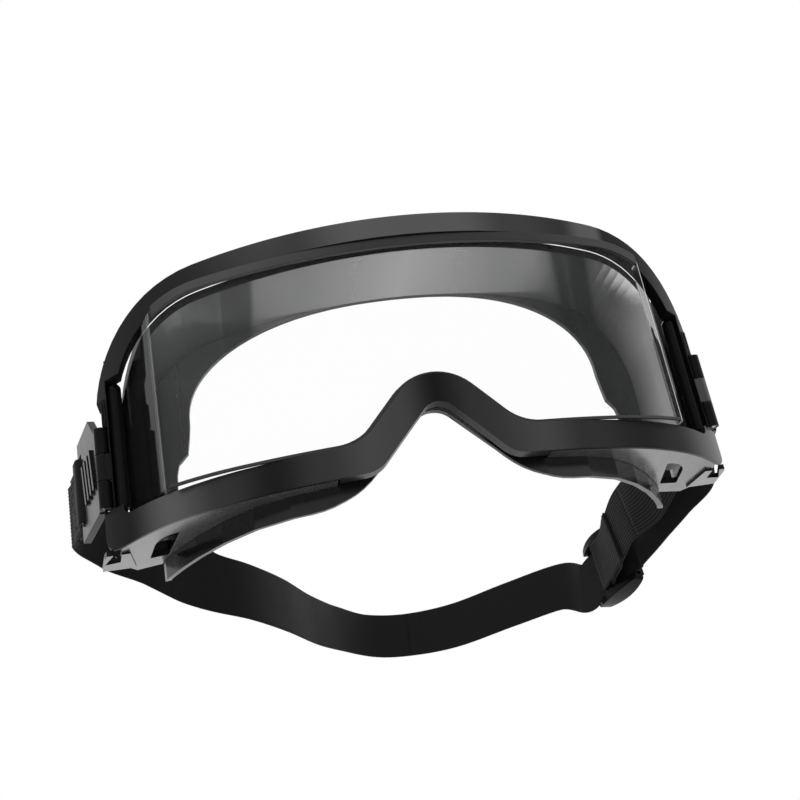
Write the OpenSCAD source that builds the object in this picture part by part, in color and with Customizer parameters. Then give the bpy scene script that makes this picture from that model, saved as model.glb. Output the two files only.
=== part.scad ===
// Heat-resistant goggles: a black front frame with a bent clear lens, a soft body with a face seal,
// hinged strap clips at both sides and an elastic head strap with a slide buckle.
// The origin lies on the face seal at the forehead, in the middle of the width.
// The front faces -Y, +X is the right-hand side as seen from the front, and +Z is up as worn.

/* [Front frame] */
// Width of the front frame
frame_w = 171; // [165:1:178]
// Height of the frame's top edge above the origin
frame_top = 38.8; // [36:0.2:42]
// Depth of the frame's straight bottom edge below the origin
frame_bottom = 30.4; // [28:0.2:33]
// Distance from the foremost point of the frame back to the face seal
frame_depth = 32.5; // [30:0.5:36]
// Thickness of the frame from front to back
frame_t = 4; // [3:0.1:4.6]
// Height of the band above the lens
top_band = 5.8; // [5:0.1:7]
// Height of the band below the lens
bottom_band = 7.6; // [6.5:0.1:9]
// Plan radius of the frame's front
front_r = 136; // [128:1:150]
// Width of each end of the front that bends back
bend_in = 19.5; // [16:0.5:25]
// Plan radius of the bent ends
bend_r = 62; // [58:1:70]
// Radius of the long top edge
top_r = 800; // [600:10:1200]
// Radius of the upper corners
corner_r = 32; // [28:0.5:36]
// Radius of the lower corners
low_corner_r = 4; // [3:0.5:8]
// How far the lower corners droop
droop = 2.5; // [1:0.1:4]
// Width of each end of the bottom edge that droops
droop_in = 35.5; // [25:0.5:40]
// Thickness of the band's skin in front of the base plates
band_skin = 1.1; // [0.8:0.1:1.6]

/* [Nose arch] */
// Height of the nose arch above the bottom edge
nose_h = 15.7; // [14:0.1:18]
// Slope of the arch's sides in degrees
nose_slope = 46.5; // [42:0.5:52]
// Radius of the arch's crown
nose_r = 5; // [4:0.5:7]
// Radius where the arch runs out into the cheek edge
cheek_r = 8; // [6:0.5:10]

/* [Lens] */
// Thickness of the lens
lens_t = 2; // [1.5:0.1:2.4]
// Plan radius of the front pane
lens_r = 178; // [165:1:200]
// Distance of the lens behind the foremost point of the frame
lens_back = 2; // [1.5:0.1:3]
// Gap between each side pane and the rod beside it
pane_room = 0.98; // [0.6:0.02:1.2]
// Length of each side pane
side_pane = 23.5; // [21:0.5:25]
// Angle of the side panes to the width, in degrees
side_pane_a = 62.8; // [60:0.2:66]
// Outer radius of the lens's two bends
lens_bend_r = 2.6; // [2.4:0.1:3.5]
// Gap between the lens and the band around it
lens_gap = 0.5; // [0.3:0.05:0.6]
// Thickness of the gasket above the lens
gasket_t = 1.2; // [0.8:0.1:1.6]
// Height by which the upper gasket laps the lens
gasket_lap = 2.1; // [1:0.1:3]
// Height by which the lower gasket laps the lens
low_lap = 0.4; // [0.3:0.1:1]

/* [Body] */
// Wall of the soft body
body_wall = 2.4; // [1.6:0.1:2.6]
// Thickness of the front rim that seats the lens
rim_t = 2; // [1.5:0.1:3]
// Radius of the face seal around the head
face_r = 110; // [100:1:125]
// Thickness of the face seal
seal_t = 1.6; // [1.2:0.1:2.2]
// Width by which the seal stands in from the body at the forehead
seal_lip = 4.2; // [3:0.1:6]
// Distance of the face opening inside the frame's ends, in its upper part
opening_in = 24; // [21:0.5:29]
// Distance of the face opening inside the frame's ends, in its lower part
opening_low_in = 18.5; // [16:0.5:20]
// Depth of the cheek skirt below the bottom edge
skirt_drop = 5.2; // [4:0.2:7]
// Radius where the skirt runs up to the nose
skirt_r = 24; // [16:1:30]
// Height of the cheek wall above the bottom edge
cheek_h = 9; // [6:0.5:12]
// Height of the seal's edge above the frame's edge at the nose
nose_edge = 1; // [0.4:0.1:1.6]
// Width of the seal around the nose
nose_flange = 4; // [3.2:0.1:6]
// Thickness of the two base plates
plate_t = 1.4; // [1:0.1:1.6]
// Width of the vent slot in each base plate
slot_w = 5.4; // [4:0.2:6]
// Length of the vent slot
slot_len = 20.5; // [16:0.5:21]
// How far each base plate flares out past the frame's end
flare = 3.4; // [2:0.1:4]

/* [Side hinge] */
// Distance of each hinge pin inside the frame's end
pin_in = 0.9; // [-0.5:0.1:1.1]
// Radius of the hinge pins
pin_r = 1; // [0.8:0.05:1.1]
// Radius of the hinge knuckles
knuckle_r = 1.9; // [1.8:0.05:2.1]
// Height of one knuckle
knuckle_h = 7.5; // [6.5:0.1:7.6]
// Height of the top of the hinge above the origin
hinge_top = 9; // [8:0.2:10]
// Radius of the retaining rods beside the lens
rod_r = 1.8; // [1.4:0.1:1.9]
// Running clearance of the pins
pin_gap = 0.05; // [0.03:0.01:0.08]

/* [Strap clips] */
// Thickness of the clip's wing
wing_t = 2; // [1.6:0.1:2.4]
// Distance from the pin to the clip's rear end
wing_reach = 30; // [28:0.5:34]
// Width of the bar that the strap goes round
bar_w = 2.8; // [2.2:0.1:3.4]
// Length of the slot in front of the bar, along the clip
strap_slot = 3.2; // [2.8:0.1:4]
// Height of the grip bars on the clip
grip_h = 0.7; // [0.4:0.1:1]

/* [Strap] */
// Width of the elastic strap
strap_w = 19; // [18:0.5:20]
// Thickness of the elastic strap
strap_t = 1.2; // [0.9:0.1:1.4]
// Length of the sewn stack at the left clip
sewn_len = 15; // [12:0.5:18]

/* [Slide buckle] */
// Length of the buckle along the strap
buckle_len = 26; // [22:0.5:27]
// Thickness of the buckle's bars
buckle_t = 1.8; // [1.5:0.1:2.2]
// Width of the buckle's cross bars
buckle_bar = 3; // [2.4:0.1:3.4]
// Width of the buckle's side rails
rail_w = 2.8; // [2.2:0.1:3.6]
// Clearance around the strap in its slots
strap_gap = 0.4; // [0.3:0.05:0.6]

/* [Hidden] */
$fn = 96;

seat_gap = 0.1;
half_w = frame_w / 2;
front_y = -frame_depth;
tall = 200;
deep = 300;

// The cheek line and the strap's route are drawn for this width and follow the frame's
drawn_w = 171;
wide = frame_w / drawn_w;
widened = (frame_w - drawn_w) / 2;
bend_x = half_w - bend_in;
droop_x = half_w - droop_in;
opening_x = half_w - opening_in;
opening_low_x = half_w - opening_low_in;
pin_x = half_w - pin_in;
rod_x = pin_x - knuckle_r - seat_gap - rod_r - 0.7;
rod_y = -0.3;

// Points along an arc, from angle a0 to angle a1
function arc(cx, cy, rx, ry, a0, a1, n) =
    [for (i = [0:n]) let (a = a0 + (a1 - a0) * i / n) [cx + rx * cos(a), cy + ry * sin(a)]];

// Lowers a point of the bottom edge towards the outer corners
function drooped(p) =
    p[1] < -5 && p[0] > droop_x
    ? [p[0], p[1] - droop * pow((p[0] - droop_x) / (half_w - droop_x), 2)] : p;

// Right half of the frame's outline, set in by t at the top, s at the side, b below and n at the nose
function half_outline(t, s, b, n, foot = cheek_r) =
    let (cx = half_w - corner_r)
    let (lean = asin(cx / (top_r - corner_r)))
    let (cz = frame_top - top_r + (top_r - corner_r) * cos(lean))
    let (base = -frame_bottom + b)
    let (crown = -frame_bottom + nose_h + n)
    let (rn = nose_r + max(n, 1 - nose_r))
    let (rc = foot + max(b, 0) / 2)
    let (az = crown - rn + rn * cos(nose_slope))
    let (run = (az - base - rc * (1 - cos(nose_slope))) / sin(nose_slope))
    let (xc = rn * sin(nose_slope) + run * cos(nose_slope) + rc * sin(nose_slope))
    let (ri = max(low_corner_r - (s + b) / 2, 2))
    let (xs = half_w - s - ri)
    [for (p = concat(
        arc(0, frame_top - top_r, top_r - t, top_r - t, 90, 90 - lean, 8),
        arc(cx, cz, corner_r - s, corner_r - t, 86, 0, 14),
        arc(xs, base + ri, ri, ri, 0, -90, 7),
        [for (i = [1:9]) [xs + (xc - xs) * i / 10, base]],
        arc(xc, base + rc, rc, rc, 270, 270 - nose_slope, 7),
        arc(0, crown - rn, rn, rn, 90 - nose_slope, 90, 7))) drooped(p)];

// Closes a half outline with its mirror image
function whole(h) = concat(h, [for (i = [len(h) - 2:-1:1]) [-h[i][0], h[i][1]]]);

module along_y(h) {
    rotate([90, 0, 0]) linear_extrude(deep, center = true) polygon(whole(h));
}

module ring_y(outer, inner) {
    rotate([90, 0, 0]) linear_extrude(deep, center = true) difference() {
        polygon(whole(outer));
        polygon(whole(inner));
    }
}

// Distance that a cut reaches past the part
cut_far = 40;

// Plan area behind the frame's front face, set back by d
bend_a = asin(bend_x / front_r);
bend_cx = bend_x - bend_r * sin(bend_a);
bend_cy = front_y + front_r - (front_r - bend_r) * cos(bend_a);
module behind_front(d) {
    joint_x = (front_r - d) * sin(bend_a);
    intersection() {
        translate([0, front_y + front_r]) circle(front_r - d, $fn = 240);
        translate([-joint_x, front_y - 1]) square([2 * joint_x, tall]);
    }
    for (side = [-1, 1])
        translate([side * bend_cx, bend_cy]) circle(bend_r - d, $fn = 180);
    translate([-half_w - cut_far, bend_cy]) square([frame_w + 2 * cut_far, tall]);
}

// The lens bends where the front pane meets a side pane that keeps clear of the rod
lens_y = front_y + lens_back;
lens_centre = [0, lens_y + lens_r];
pane_run = [cos(side_pane_a), sin(side_pane_a)];
pane_out = [sin(side_pane_a), -cos(side_pane_a)];
pane_reach = [rod_x, rod_y] * pane_out - rod_r - pane_room - lens_centre * pane_out;
lens_corner = lens_centre + pane_reach * pane_out
    - sqrt(lens_r * lens_r - pane_reach * pane_reach) * pane_run;
lens_bend_x = lens_corner[0];
lens_a = asin(lens_bend_x / lens_r);

// Right half of the lens's front surface in plan, set in by d
mid_a = (lens_a + side_pane_a) / 2;
half_turn = (side_pane_a - lens_a) / 2;
function lens_curve(d) =
    let (r = max(lens_bend_r - d, 0.02))
    let (in = (d + r) / cos(half_turn))
    let (c = lens_corner + in * [-sin(mid_a), cos(mid_a)])
    let (p0 = c + r * [sin(lens_a), -cos(lens_a)])
    let (a_end = asin(p0[0] / (lens_r - d)))
    let (p1 = c + r * [sin(side_pane_a), -cos(side_pane_a)])
    let (full = lens_corner + side_pane * [cos(side_pane_a), sin(side_pane_a)])
    let (p2 = full + d * [-sin(side_pane_a), cos(side_pane_a)])
    concat(
        arc(0, lens_y + lens_r, lens_r - d, lens_r - d, -90, -90 + a_end, 24),
        [for (i = [1:5]) let (a = lens_a + (side_pane_a - lens_a) * i / 6) c + r * [sin(a), -cos(a)]],
        [p1, p2]);

function mirror_x(h) = [for (i = [len(h) - 1:-1:0]) [-h[i][0], h[i][1]]];

// Plan area behind the lens, set back by d
module behind_lens(d) {
    c = lens_curve(d);
    e = c[len(c) - 1];
    right = concat([for (i = [1:len(c) - 1]) c[i]], [[half_w + 20, e[1]], [half_w + 20, tall]]);
    polygon(concat(right, mirror_x(concat([c[0]], right))));
}

module front_zone(d) {
    intersection() {
        behind_front(d);
        behind_lens(d - frame_t + lens_t);
    }
}

// Distance of the face seal behind the origin at half width x
function face_y(x) = face_r - sqrt(face_r * face_r - x * x);

// Rear limit of the cheek wall in plan, from the nose outwards: its outer part follows the frame's end
cheek_line = [[0, -21.5], [14, -22.5], [26, -22], [38, -18.5], [47, -13], [55, -4.5],
    [62, 5], [67.4, 14], [71, 21], [72.5, 26.5]];
cheek_out = cheek_line[len(cheek_line) - 1][0];
face_shift = face_y(cheek_out + widened) - face_y(cheek_out);
function cheek_curve(d) =
    [for (p = cheek_line) let (k = p[0] / cheek_out)
        [p[0] + widened * min(1, 1.2 * k) + d * k * 0.9, p[1] + face_shift * pow(k, 8) - d * (1 - k * 0.55)]];
module inside_cheeks(d) {
    c = cheek_curve(d);
    e = c[len(c) - 1];
    right = concat([for (i = [1:len(c) - 1]) c[i]], [[e[0], tall]]);
    polygon(concat(right, mirror_x(concat([c[0]], right))));
}

module inside_face(d) {
    translate([0, face_r]) circle(face_r + d, $fn = 240);
    translate([-face_r - d, face_r]) square([2 * (face_r + d), tall]);
}

skirt_end = 22.6 + face_shift;
cheek_end = face_y(cheek_out + widened) + 1.7;

// Top of the zone in which the cheek wall bounds the body
cheek_top = -frame_bottom + cheek_h;
nose_zone_h = 11;
nose_zone_top = -frame_bottom + nose_h + nose_zone_h;
nose_zone_x = 25;
gasket_split = 0;

// Down from the top: a ribbed block of the frame, a knuckle of the clip, one of the frame and one of the clip
function knuckle_top(i) = hinge_top - i * knuckle_h;
hinge_low = knuckle_top(4);
pin_top = knuckle_top(1) - 0.1;
rod_top = hinge_top + 5;
band_end = 13.5;
rod_low = hinge_low - 0.5;
post_y = rod_y + rod_r + seat_gap;
post_back = 6;
post_x0 = half_w - top_band + 0.1;
post_x1 = pin_x - knuckle_r - 0.2;

module sides() {
    children();
    mirror([1, 0, 0]) children();
}

module fixed_knuckle() {
    z0 = knuckle_top(3) + 0.15;
    h = knuckle_h - 0.3;
    translate([pin_x, 0, z0]) cylinder(h = h, r = knuckle_r);
    translate([post_x1 - 0.5, -knuckle_r + 0.2, z0]) cube([pin_x - post_x1 + 0.5, 2 * knuckle_r - 0.4, h]);
}

// Ribbed block above the hinge, in line with the band's outer side
block_in = 0.7;
rib_r = 0.3;
module top_block() {
    z0 = knuckle_top(1) + 0.15;
    x1 = pin_x - block_in;
    translate([post_x1 - 0.5, -knuckle_r + 0.2, z0])
        cube([x1 - post_x1 + 0.5, 2 * knuckle_r - 0.4, knuckle_h - 0.3]);
    for (i = [0:2])
        translate([x1 - rib_r - 2 * rib_r * i, -knuckle_r + 0.2, z0 + 0.45])
            cylinder(h = knuckle_h - 1.2, r = rib_r, $fn = 16);
}

// Hole through the lower corner, in plan
module corner_hole() {
    polygon([[half_w - 4, -1.5], [half_w - 2.7, -1], [half_w + 2, 11.2], [half_w - 2.2, 10]]);
}

// Plan area that the base plates fill, from d behind the band's face
flare_start = 2.6;
module plate_zone(d) {
    intersection() {
        behind_front(d);
        translate([-half_w + d, -tall]) square([frame_w - 2 * d, 2 * tall]);
    }
    translate([-tall, flare_start + d - band_skin]) square([2 * tall, tall]);
}

// Seat in the band's underside into which the base plates fit
plate_start = 27;
module plate_seat() {
    intersection() {
        ring_y(half_outline(-1, -1, -1, -1), half_outline(-1.5, -1.5, plate_t + 0.3, plate_t + 0.3));
        translate([0, 0, -tall]) linear_extrude(tall - frame_bottom + 5) difference() {
            plate_zone(band_skin);
            square([2 * plate_start - 1, 2 * tall], center = true);
        }
    }
}

module front_frame() {
    color([0.10, 0.10, 0.11]) difference() {
        union() {
            intersection() {
                ring_y(half_outline(0, 0, 0, 0), half_outline(top_band, top_band, bottom_band, bottom_band));
                translate([0, 0, -tall / 2]) linear_extrude(tall) difference() {
                    behind_front(0);
                    difference() {
                        behind_front(frame_t);
                        sides() translate([post_x0, -cut_far]) square([cut_far, cut_far + post_back]);
                    }
                    translate([-tall, band_end]) square([2 * tall, tall]);
                }
            }
            sides() {
                translate([post_x0, post_y, rod_low - 4])
                    cube([post_x1 - post_x0, post_back - post_y, rod_top - rod_low + 12]);
                fixed_knuckle();
                top_block();
            }
        }
        sides() {
            hinge_pocket();
            translate([pin_x, 0, hinge_low - 1]) cylinder(h = pin_top - hinge_low + 1.2, r = pin_r + 0.02);
            translate([0, 0, -tall]) linear_extrude(tall - frame_bottom + bottom_band) corner_hole();
        }
        plate_seat();
    }
}

// Space in the frame's side for the rod, the hinge and the clip's knuckles
module hinge_pocket() {
    translate([rod_x - rod_r - 0.25, -cut_far, rod_low - seat_gap])
        cube([2 * rod_r + 0.5, cut_far + post_y, rod_top - rod_low + 0.3]);
    difference() {
        translate([post_x1, -cut_far, hinge_low - 0.2])
            cube([cut_far, 2 * cut_far, hinge_top - hinge_low + 0.4]);
        fixed_knuckle();
        top_block();
    }
}

module lens() {
    color([0.85, 0.88, 0.90, 0.25]) intersection() {
        along_y(half_outline(top_band + lens_gap, top_band + lens_gap,
            bottom_band + lens_gap, bottom_band + lens_gap));
        translate([0, 0, -tall / 2]) linear_extrude(tall) lens_section();
    }
}

module lens_section() {
    outer = lens_curve(0);
    inner = lens_curve(lens_t);
    o = concat([for (i = [1:len(outer) - 1]) outer[i]], [for (i = [len(inner) - 1:-1:1]) inner[i]]);
    polygon(concat(o, [inner[0]], [for (i = [len(o) - 1:-1:0]) [-o[i][0], o[i][1]]], [outer[0]]));
}

// Ring in front of the lens, of thickness t, whose side parts are cut away
module gasket_ring(t) {
    top = top_band + lens_gap + gasket_lap;
    low = bottom_band + lens_gap + low_lap;
    color([0.07, 0.07, 0.08]) intersection() {
        ring_y(half_outline(top_band + 0.1, top_band + 0.1, bottom_band + 0.1, bottom_band + 0.1),
            half_outline(top, top, low, low));
        translate([0, 0, -tall / 2]) linear_extrude(tall) difference() {
            behind_lens(-seat_gap - t);
            behind_lens(-seat_gap);
        }
        translate([-lens_bend_x + 1, -tall, -tall / 2]) cube([2 * lens_bend_x - 2, tall, tall]);
    }
}

module upper_gasket() {
    intersection() {
        gasket_ring(gasket_t);
        translate([-tall, -tall, gasket_split]) cube([2 * tall, tall, tall]);
    }
}

// The lower gasket is half as thick, so that the band's edge stays in front of it
module lower_gasket() {
    difference() {
        gasket_ring(gasket_t / 2);
        translate([-tall, -tall, gasket_split]) cube([2 * tall, tall, tall]);
    }
}

module body() {
    color([0.12, 0.12, 0.13]) difference() {
        union() {
            intersection() {
                ring_y(half_outline(top_band + 0.2, top_band + 0.2, plate_t + 0.5, plate_t + 0.5),
                    half_outline(top_band + 0.2 + body_wall, top_band + 0.2 + body_wall,
                        plate_t + 0.5 + body_wall, plate_t + 0.5 + body_wall));
                translate([0, 0, -tall / 2]) linear_extrude(tall) front_zone(frame_t + seat_gap);
            }
            intersection() {
                ring_y(half_outline(top_band + 0.2, top_band + 0.2, plate_t + 0.5, plate_t + 0.5),
                    half_outline(top_band + 2.6, top_band + 2.6, bottom_band + 1.5, bottom_band + 1.5));
                translate([0, 0, -tall / 2]) linear_extrude(tall) difference() {
                    front_zone(frame_t + seat_gap);
                    front_zone(frame_t + seat_gap + rim_t);
                }
                translate([-lens_bend_x, -tall, -tall / 2]) cube([2 * lens_bend_x, tall, tall]);
            }
        }
        translate([0, 0, -tall / 2]) linear_extrude(tall) inside_face(seal_t + seat_gap);
        cheek_zone(seal_t + seat_gap);
        lower_rear_cut();
        sides() {
            side_clearance();
            vent_slot(0.3);
        }
    }
}

// Space behind the cheek wall, which reaches higher at the nose
module cheek_zone(d) {
    translate([0, 0, -tall + cheek_top]) linear_extrude(tall) inside_cheeks(d);
    translate([0, 0, -tall + nose_zone_top]) linear_extrude(tall) intersection() {
        inside_cheeks(d);
        translate([-nose_zone_x, -tall]) square([2 * nose_zone_x, 2 * tall]);
    }
}

// Keeps the body clear of the frame's posts and of the rods
module side_clearance() {
    side_room = 6;
    translate([post_x0 - 0.3, -cut_far, rod_low - side_room])
        cube([cut_far, cut_far + post_back + 0.2, rod_top - rod_low + 2 * side_room + 4]);
    translate([rod_x - rod_r - 0.4, -cut_far, -tall / 2]) cube([cut_far, cut_far + post_back + 0.2, tall]);
}

module lower_rear_cut() {
    translate([-tall, skirt_end - 0.6, -tall - frame_bottom + 12]) cube([2 * tall, tall, tall]);
}

// Right half of the face opening, from the top centre down, between the seal's two feet
seal_foot = 2.4;
seal_inner_top = frame_top - top_band - 0.2 - body_wall;
function opening_half() = concat(
    [for (i = [0:18]) let (a = 90 - i * 5)
        [opening_x * pow(cos(a), 0.72), 6 + (seal_inner_top - 6) * pow(sin(a), 0.8)]],
    [[opening_x + 0.6, 2], [opening_x + 1.4, -2], [opening_low_x - 1.2, -4.2], [opening_low_x - 0.4, -7],
     [opening_low_x, -12], [opening_low_x - 1, cheek_top - seal_foot - 1], [0, cheek_top - seal_foot - 1]]);

module face_seal() {
    color([0.09, 0.09, 0.10]) {
        difference() {
            intersection() {
                translate([0, 0, -tall / 2]) linear_extrude(tall) difference() {
                    inside_face(seal_t);
                    inside_face(0);
                }
                along_y(half_outline(seal_lip - 1.2, seal_lip, cheek_h - seal_foot, cheek_h));
                translate([-tall, -tall, cheek_top - seal_foot]) cube([2 * tall, 2 * tall, tall]);
            }
            rotate([90, 0, 0]) linear_extrude(deep, center = true) polygon(whole(opening_half()));
        }
        intersection() {
            translate([0, 0, -tall / 2]) linear_extrude(tall) difference() {
                inside_cheeks(seal_t);
                inside_cheeks(0);
                translate([-tall, cheek_end]) square([2 * tall, tall]);
            }
            ring_y(half_outline(0, 0, -skirt_drop, nose_edge, skirt_r),
                half_outline(0, 0, cheek_h, nose_edge + nose_flange));
            union() {
                translate([-tall, -tall, -tall / 2]) cube([2 * tall, tall + skirt_end, tall]);
                translate([-tall, -tall, -frame_bottom + 1]) cube([2 * tall, 2 * tall, tall]);
            }
        }
    }
}

// Base plate under the frame's end, with a step in its rear edge and a flare at its outer side
plate_step = half_w - 5.2;
plate_end = skirt_end + 1;
flare_end = 17.7;
flare_in = 5.5;
module base_plate() {
    flare_low = -frame_bottom - droop + 0.2;
    color([0.22, 0.22, 0.23]) difference() {
        union() {
            intersection() {
                ring_y(half_outline(0.2, 0.2, 0.2, 0.2),
                    half_outline(-1.5, -1.5, 0.2 + plate_t, 0.2 + plate_t));
                translate([0, 0, -tall]) linear_extrude(tall - frame_bottom + 5) difference() {
                    plate_zone(band_skin + seat_gap);
                    inside_cheeks(seal_t + seat_gap);
                    translate([-tall, -tall]) square([tall + plate_start, 2 * tall]);
                    translate([-tall, plate_end]) square([2 * tall, tall]);
                    polygon([[plate_step, plate_end + 0.1], [plate_step + 2.2, flare_end], [tall, flare_end],
                        [tall, tall], [plate_step, tall]]);
                }
            }
            translate([0, 0, flare_low]) linear_extrude(plate_t) polygon([
                [half_w - flare_in, flare_start + seat_gap], [half_w + 0.4, flare_start + seat_gap],
                [half_w + 1.2, flare_start + 2.4], [half_w + flare, flare_end],
                [half_w - flare_in, flare_end]]);
        }
        translate([0, 0, -tall]) linear_extrude(tall) corner_hole();
        vent_slot(0);
    }
}

// Space of a vent slot, wider by d all round, half-way between the frame's end and the face
slot_x = half_w - 18.9;
slot_front = face_shift / 2 - 4;
slot_turn = -11.6;
module vent_slot(d) {
    bow = slot_len * 0.45;
    translate([slot_x, slot_front, -tall]) rotate([0, 0, slot_turn])
        linear_extrude(tall - frame_bottom + 6) offset(d + 0.6) offset(-0.6)
            polygon(concat(arc(0, bow, slot_w, bow, -90, 0, 10), [[slot_w, slot_len], [0.5, slot_len - 1]]));
}

module right_base_plate() { base_plate(); }
module left_base_plate() { mirror([1, 0, 0]) base_plate(); }

module rod() {
    color([0.16, 0.16, 0.17]) translate([rod_x, rod_y, 0]) {
        translate([0, 0, rod_low]) cylinder(h = rod_top - rod_r - rod_low, r = rod_r);
        translate([0, 0, rod_top - rod_r]) sphere(rod_r, $fn = 48);
    }
}

module right_rod() { rod(); }
module left_rod() { mirror([1, 0, 0]) rod(); }

module hinge_pin() {
    color([0.55, 0.55, 0.57]) translate([pin_x, 0, hinge_low + 0.2])
        cylinder(h = pin_top - hinge_low - 0.2, r = pin_r);
}

module right_hinge_pin() { hinge_pin(); }
module left_hinge_pin() { mirror([1, 0, 0]) hinge_pin(); }

// Clip wing in plan: along its centre line from the knuckles to the rear end
wing_a = 17;
wing_dir = [sin(wing_a), cos(wing_a)];
wing_side = [cos(wing_a), -sin(wing_a)];
wing_c = -0.6;
wing_start = 3;
slope_low = 1.4;
slope_reach = 12;
function wing_point(u, v) = [pin_x, 0] + u * wing_dir + (v + wing_c) * wing_side;
wing_low = hinge_low - 0.1;
wing_top = hinge_top - 0.8;
strap_z = (wing_top + wing_low) / 2;

module wing_strip(u0, u1, v0, v1) {
    polygon([wing_point(u0, v0), wing_point(u1, v0), wing_point(u1, v1), wing_point(u0, v1)]);
}

module strap_clip() {
    color([0.08, 0.08, 0.09]) {
        difference() {
            union() {
                translate([0, 0, wing_low]) linear_extrude(wing_top - wing_low)
                    wing_strip(wing_start, wing_reach, 0, wing_t);
                for (i = [1, 3]) {
                    z0 = knuckle_top(i + 1) + 0.15;
                    translate([pin_x, 0, z0]) cylinder(h = knuckle_h - 0.3, r = knuckle_r);
                    translate([0, 0, z0]) linear_extrude(knuckle_h - 0.3)
                        wing_strip(0, wing_start + 1, 0, wing_t);
                }
            }
            translate([pin_x, 0, hinge_low - 1]) cylinder(h = hinge_top - hinge_low + 2, r = pin_r + pin_gap);
            translate([0, 0, strap_z - strap_w / 2 - 0.6]) linear_extrude(strap_w + 1.2)
                wing_strip(wing_reach - bar_w - strap_slot, wing_reach - bar_w, -1, wing_t + 2);
            sloped_front_edge();
        }
        grip_bars();
    }
}

// Places children with X along the wing, Y outward and Z up, at distance u from the pin
module on_wing(u, v) {
    p = wing_point(u, v);
    multmatrix([[wing_dir[0], wing_side[0], 0, p[0]],
        [wing_dir[1], wing_side[1], 0, p[1]],
        [0, 0, 1, 0]]) children();
}

// The wing's front edge slopes back towards its top
module sloped_front_edge() {
    on_wing(0, 10) rotate([90, 0, 0]) linear_extrude(20)
        polygon([[-6, slope_low], [wing_start, slope_low], [slope_reach, wing_top + 1], [-6, wing_top + 1]]);
}

// Raised slanted bars on the wing's outer face
module grip_bars() {
    for (i = [0:3])
        on_wing(7 + i * 4.2, wing_t + grip_h) translate([0, 0, strap_z]) rotate([90, 0, 0])
            linear_extrude(grip_h + 0.3) polygon([[-2.2, -7], [-0.4, -7], [2.4, 5], [0.6, 5]]);
}

module right_strap_clip() { strap_clip(); }
module left_strap_clip() { mirror([1, 0, 0]) strap_clip(); }

// Strap folded round the clip's rear bar, open to the rear
fold_gap = 0.2;
module strap_fold(tail) {
    v0 = -fold_gap - strap_t;
    v1 = wing_t + fold_gap + strap_t;
    u0 = wing_reach - bar_w - fold_gap - strap_t;
    color([0.11, 0.11, 0.12]) translate([0, 0, strap_z - strap_w / 2]) linear_extrude(strap_w) difference() {
        wing_strip(u0, wing_reach + tail, v0, v1);
        wing_strip(wing_reach - bar_w - fold_gap, wing_reach + tail + 1, -fold_gap, wing_t + fold_gap);
    }
}

module right_strap_fold() { strap_fold(fold_tail); }

// The left end closes behind the bar into a sewn stack of two layers
module left_strap_fold() {
    mirror([1, 0, 0]) {
        strap_fold(fold_tail);
        color([0.11, 0.11, 0.12]) translate([0, 0, strap_z - strap_w / 2]) linear_extrude(strap_w)
            polygon([
                wing_point(wing_reach + 0.6, -fold_gap - strap_t),
                wing_point(wing_reach + 3, wing_t / 2 - strap_t),
                wing_point(sewn_end, wing_t / 2 - strap_t), wing_point(sewn_end, wing_t / 2 + strap_t),
                wing_point(wing_reach + 3, wing_t / 2 + strap_t),
                wing_point(wing_reach + 0.6, wing_t + fold_gap + strap_t)]);
    }
}

// A point on a smooth curve through four neighbouring points
function smooth(a, b, c, d, t) =
    0.5 * (2 * b + (c - a) * t + (2 * a - 5 * b + 4 * c - d) * t * t + (3 * b - a - 3 * c + d) * t * t * t);

// Fills a route in with n steps between neighbouring points
function filled(p, n) = let (m = len(p) - 1) concat(
    [for (i = [0:m - 1]) for (j = [0:n - 1])
        smooth(i == 0 ? 2 * p[0] - p[1] : p[i - 1], p[i], p[i + 1],
            i + 2 > m ? 2 * p[m] - p[m - 1] : p[i + 2], j / n)],
    [p[m]]);

function unit(v) = v / norm(v);
function place(p) = [p[0], p[1], p[2]];

// Direction of a route at point i
function along(p, i) = unit(place(p[min(i + 1, len(p) - 1)]) - place(p[max(i - 1, 0)]));

// Outward and upward directions of the strap, leaning by an angle about its own run
function level_out(t) = unit(cross(t, [0, 0, 1]));
function out_dir(t, lean) = let (n = level_out(t)) n * cos(lean) - cross(n, t) * sin(lean);
function up_dir(t, lean) = let (n = level_out(t)) cross(n, t) * cos(lean) + n * sin(lean);

// Flat strap swept along a route of [x, y, z, lean]
module strip(route, width, thick) {
    m = len(route);
    points = [for (i = [0:m - 1])
        let (t = along(route, i))
        let (n = out_dir(t, route[i][3]) * thick / 2)
        let (w = up_dir(t, route[i][3]) * width / 2)
        let (c = place(route[i]))
        each [c - n - w, c + n - w, c + n + w, c - n + w]];
    sides = [for (i = [0:m - 2]) for (k = [0:3])
        let (a = 4 * i + k)
        let (b = 4 * i + (k + 1) % 4)
        each [[a, a + 4, b + 4], [a, b + 4, b]]];
    ends = [[0, 1, 2], [0, 2, 3], [4 * m - 2, 4 * m - 3, 4 * m - 4], [4 * m - 1, 4 * m - 2, 4 * m - 4]];
    polyhedron(points, concat(sides, ends), convexity = 6);
}

// Where the strap leaves a clip, at distance r from the pin and v across the wing
function leave(r, v) = let (p = wing_point(r, v)) [p[0], p[1], strap_z];
outer_v = wing_t + fold_gap + strap_t / 2;
inner_v = -fold_gap - strap_t / 2;
fold_tail = 1.2;
strap_start = wing_reach + fold_tail + 0.5;
sewn_end = wing_reach + sewn_len;

function mirrored(p) = [-p[0], p[1], p[2]];

// A free point of a route, which follows the frame's width
function free(x, y, z, lean) = [x * wide, y, z, lean];

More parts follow.
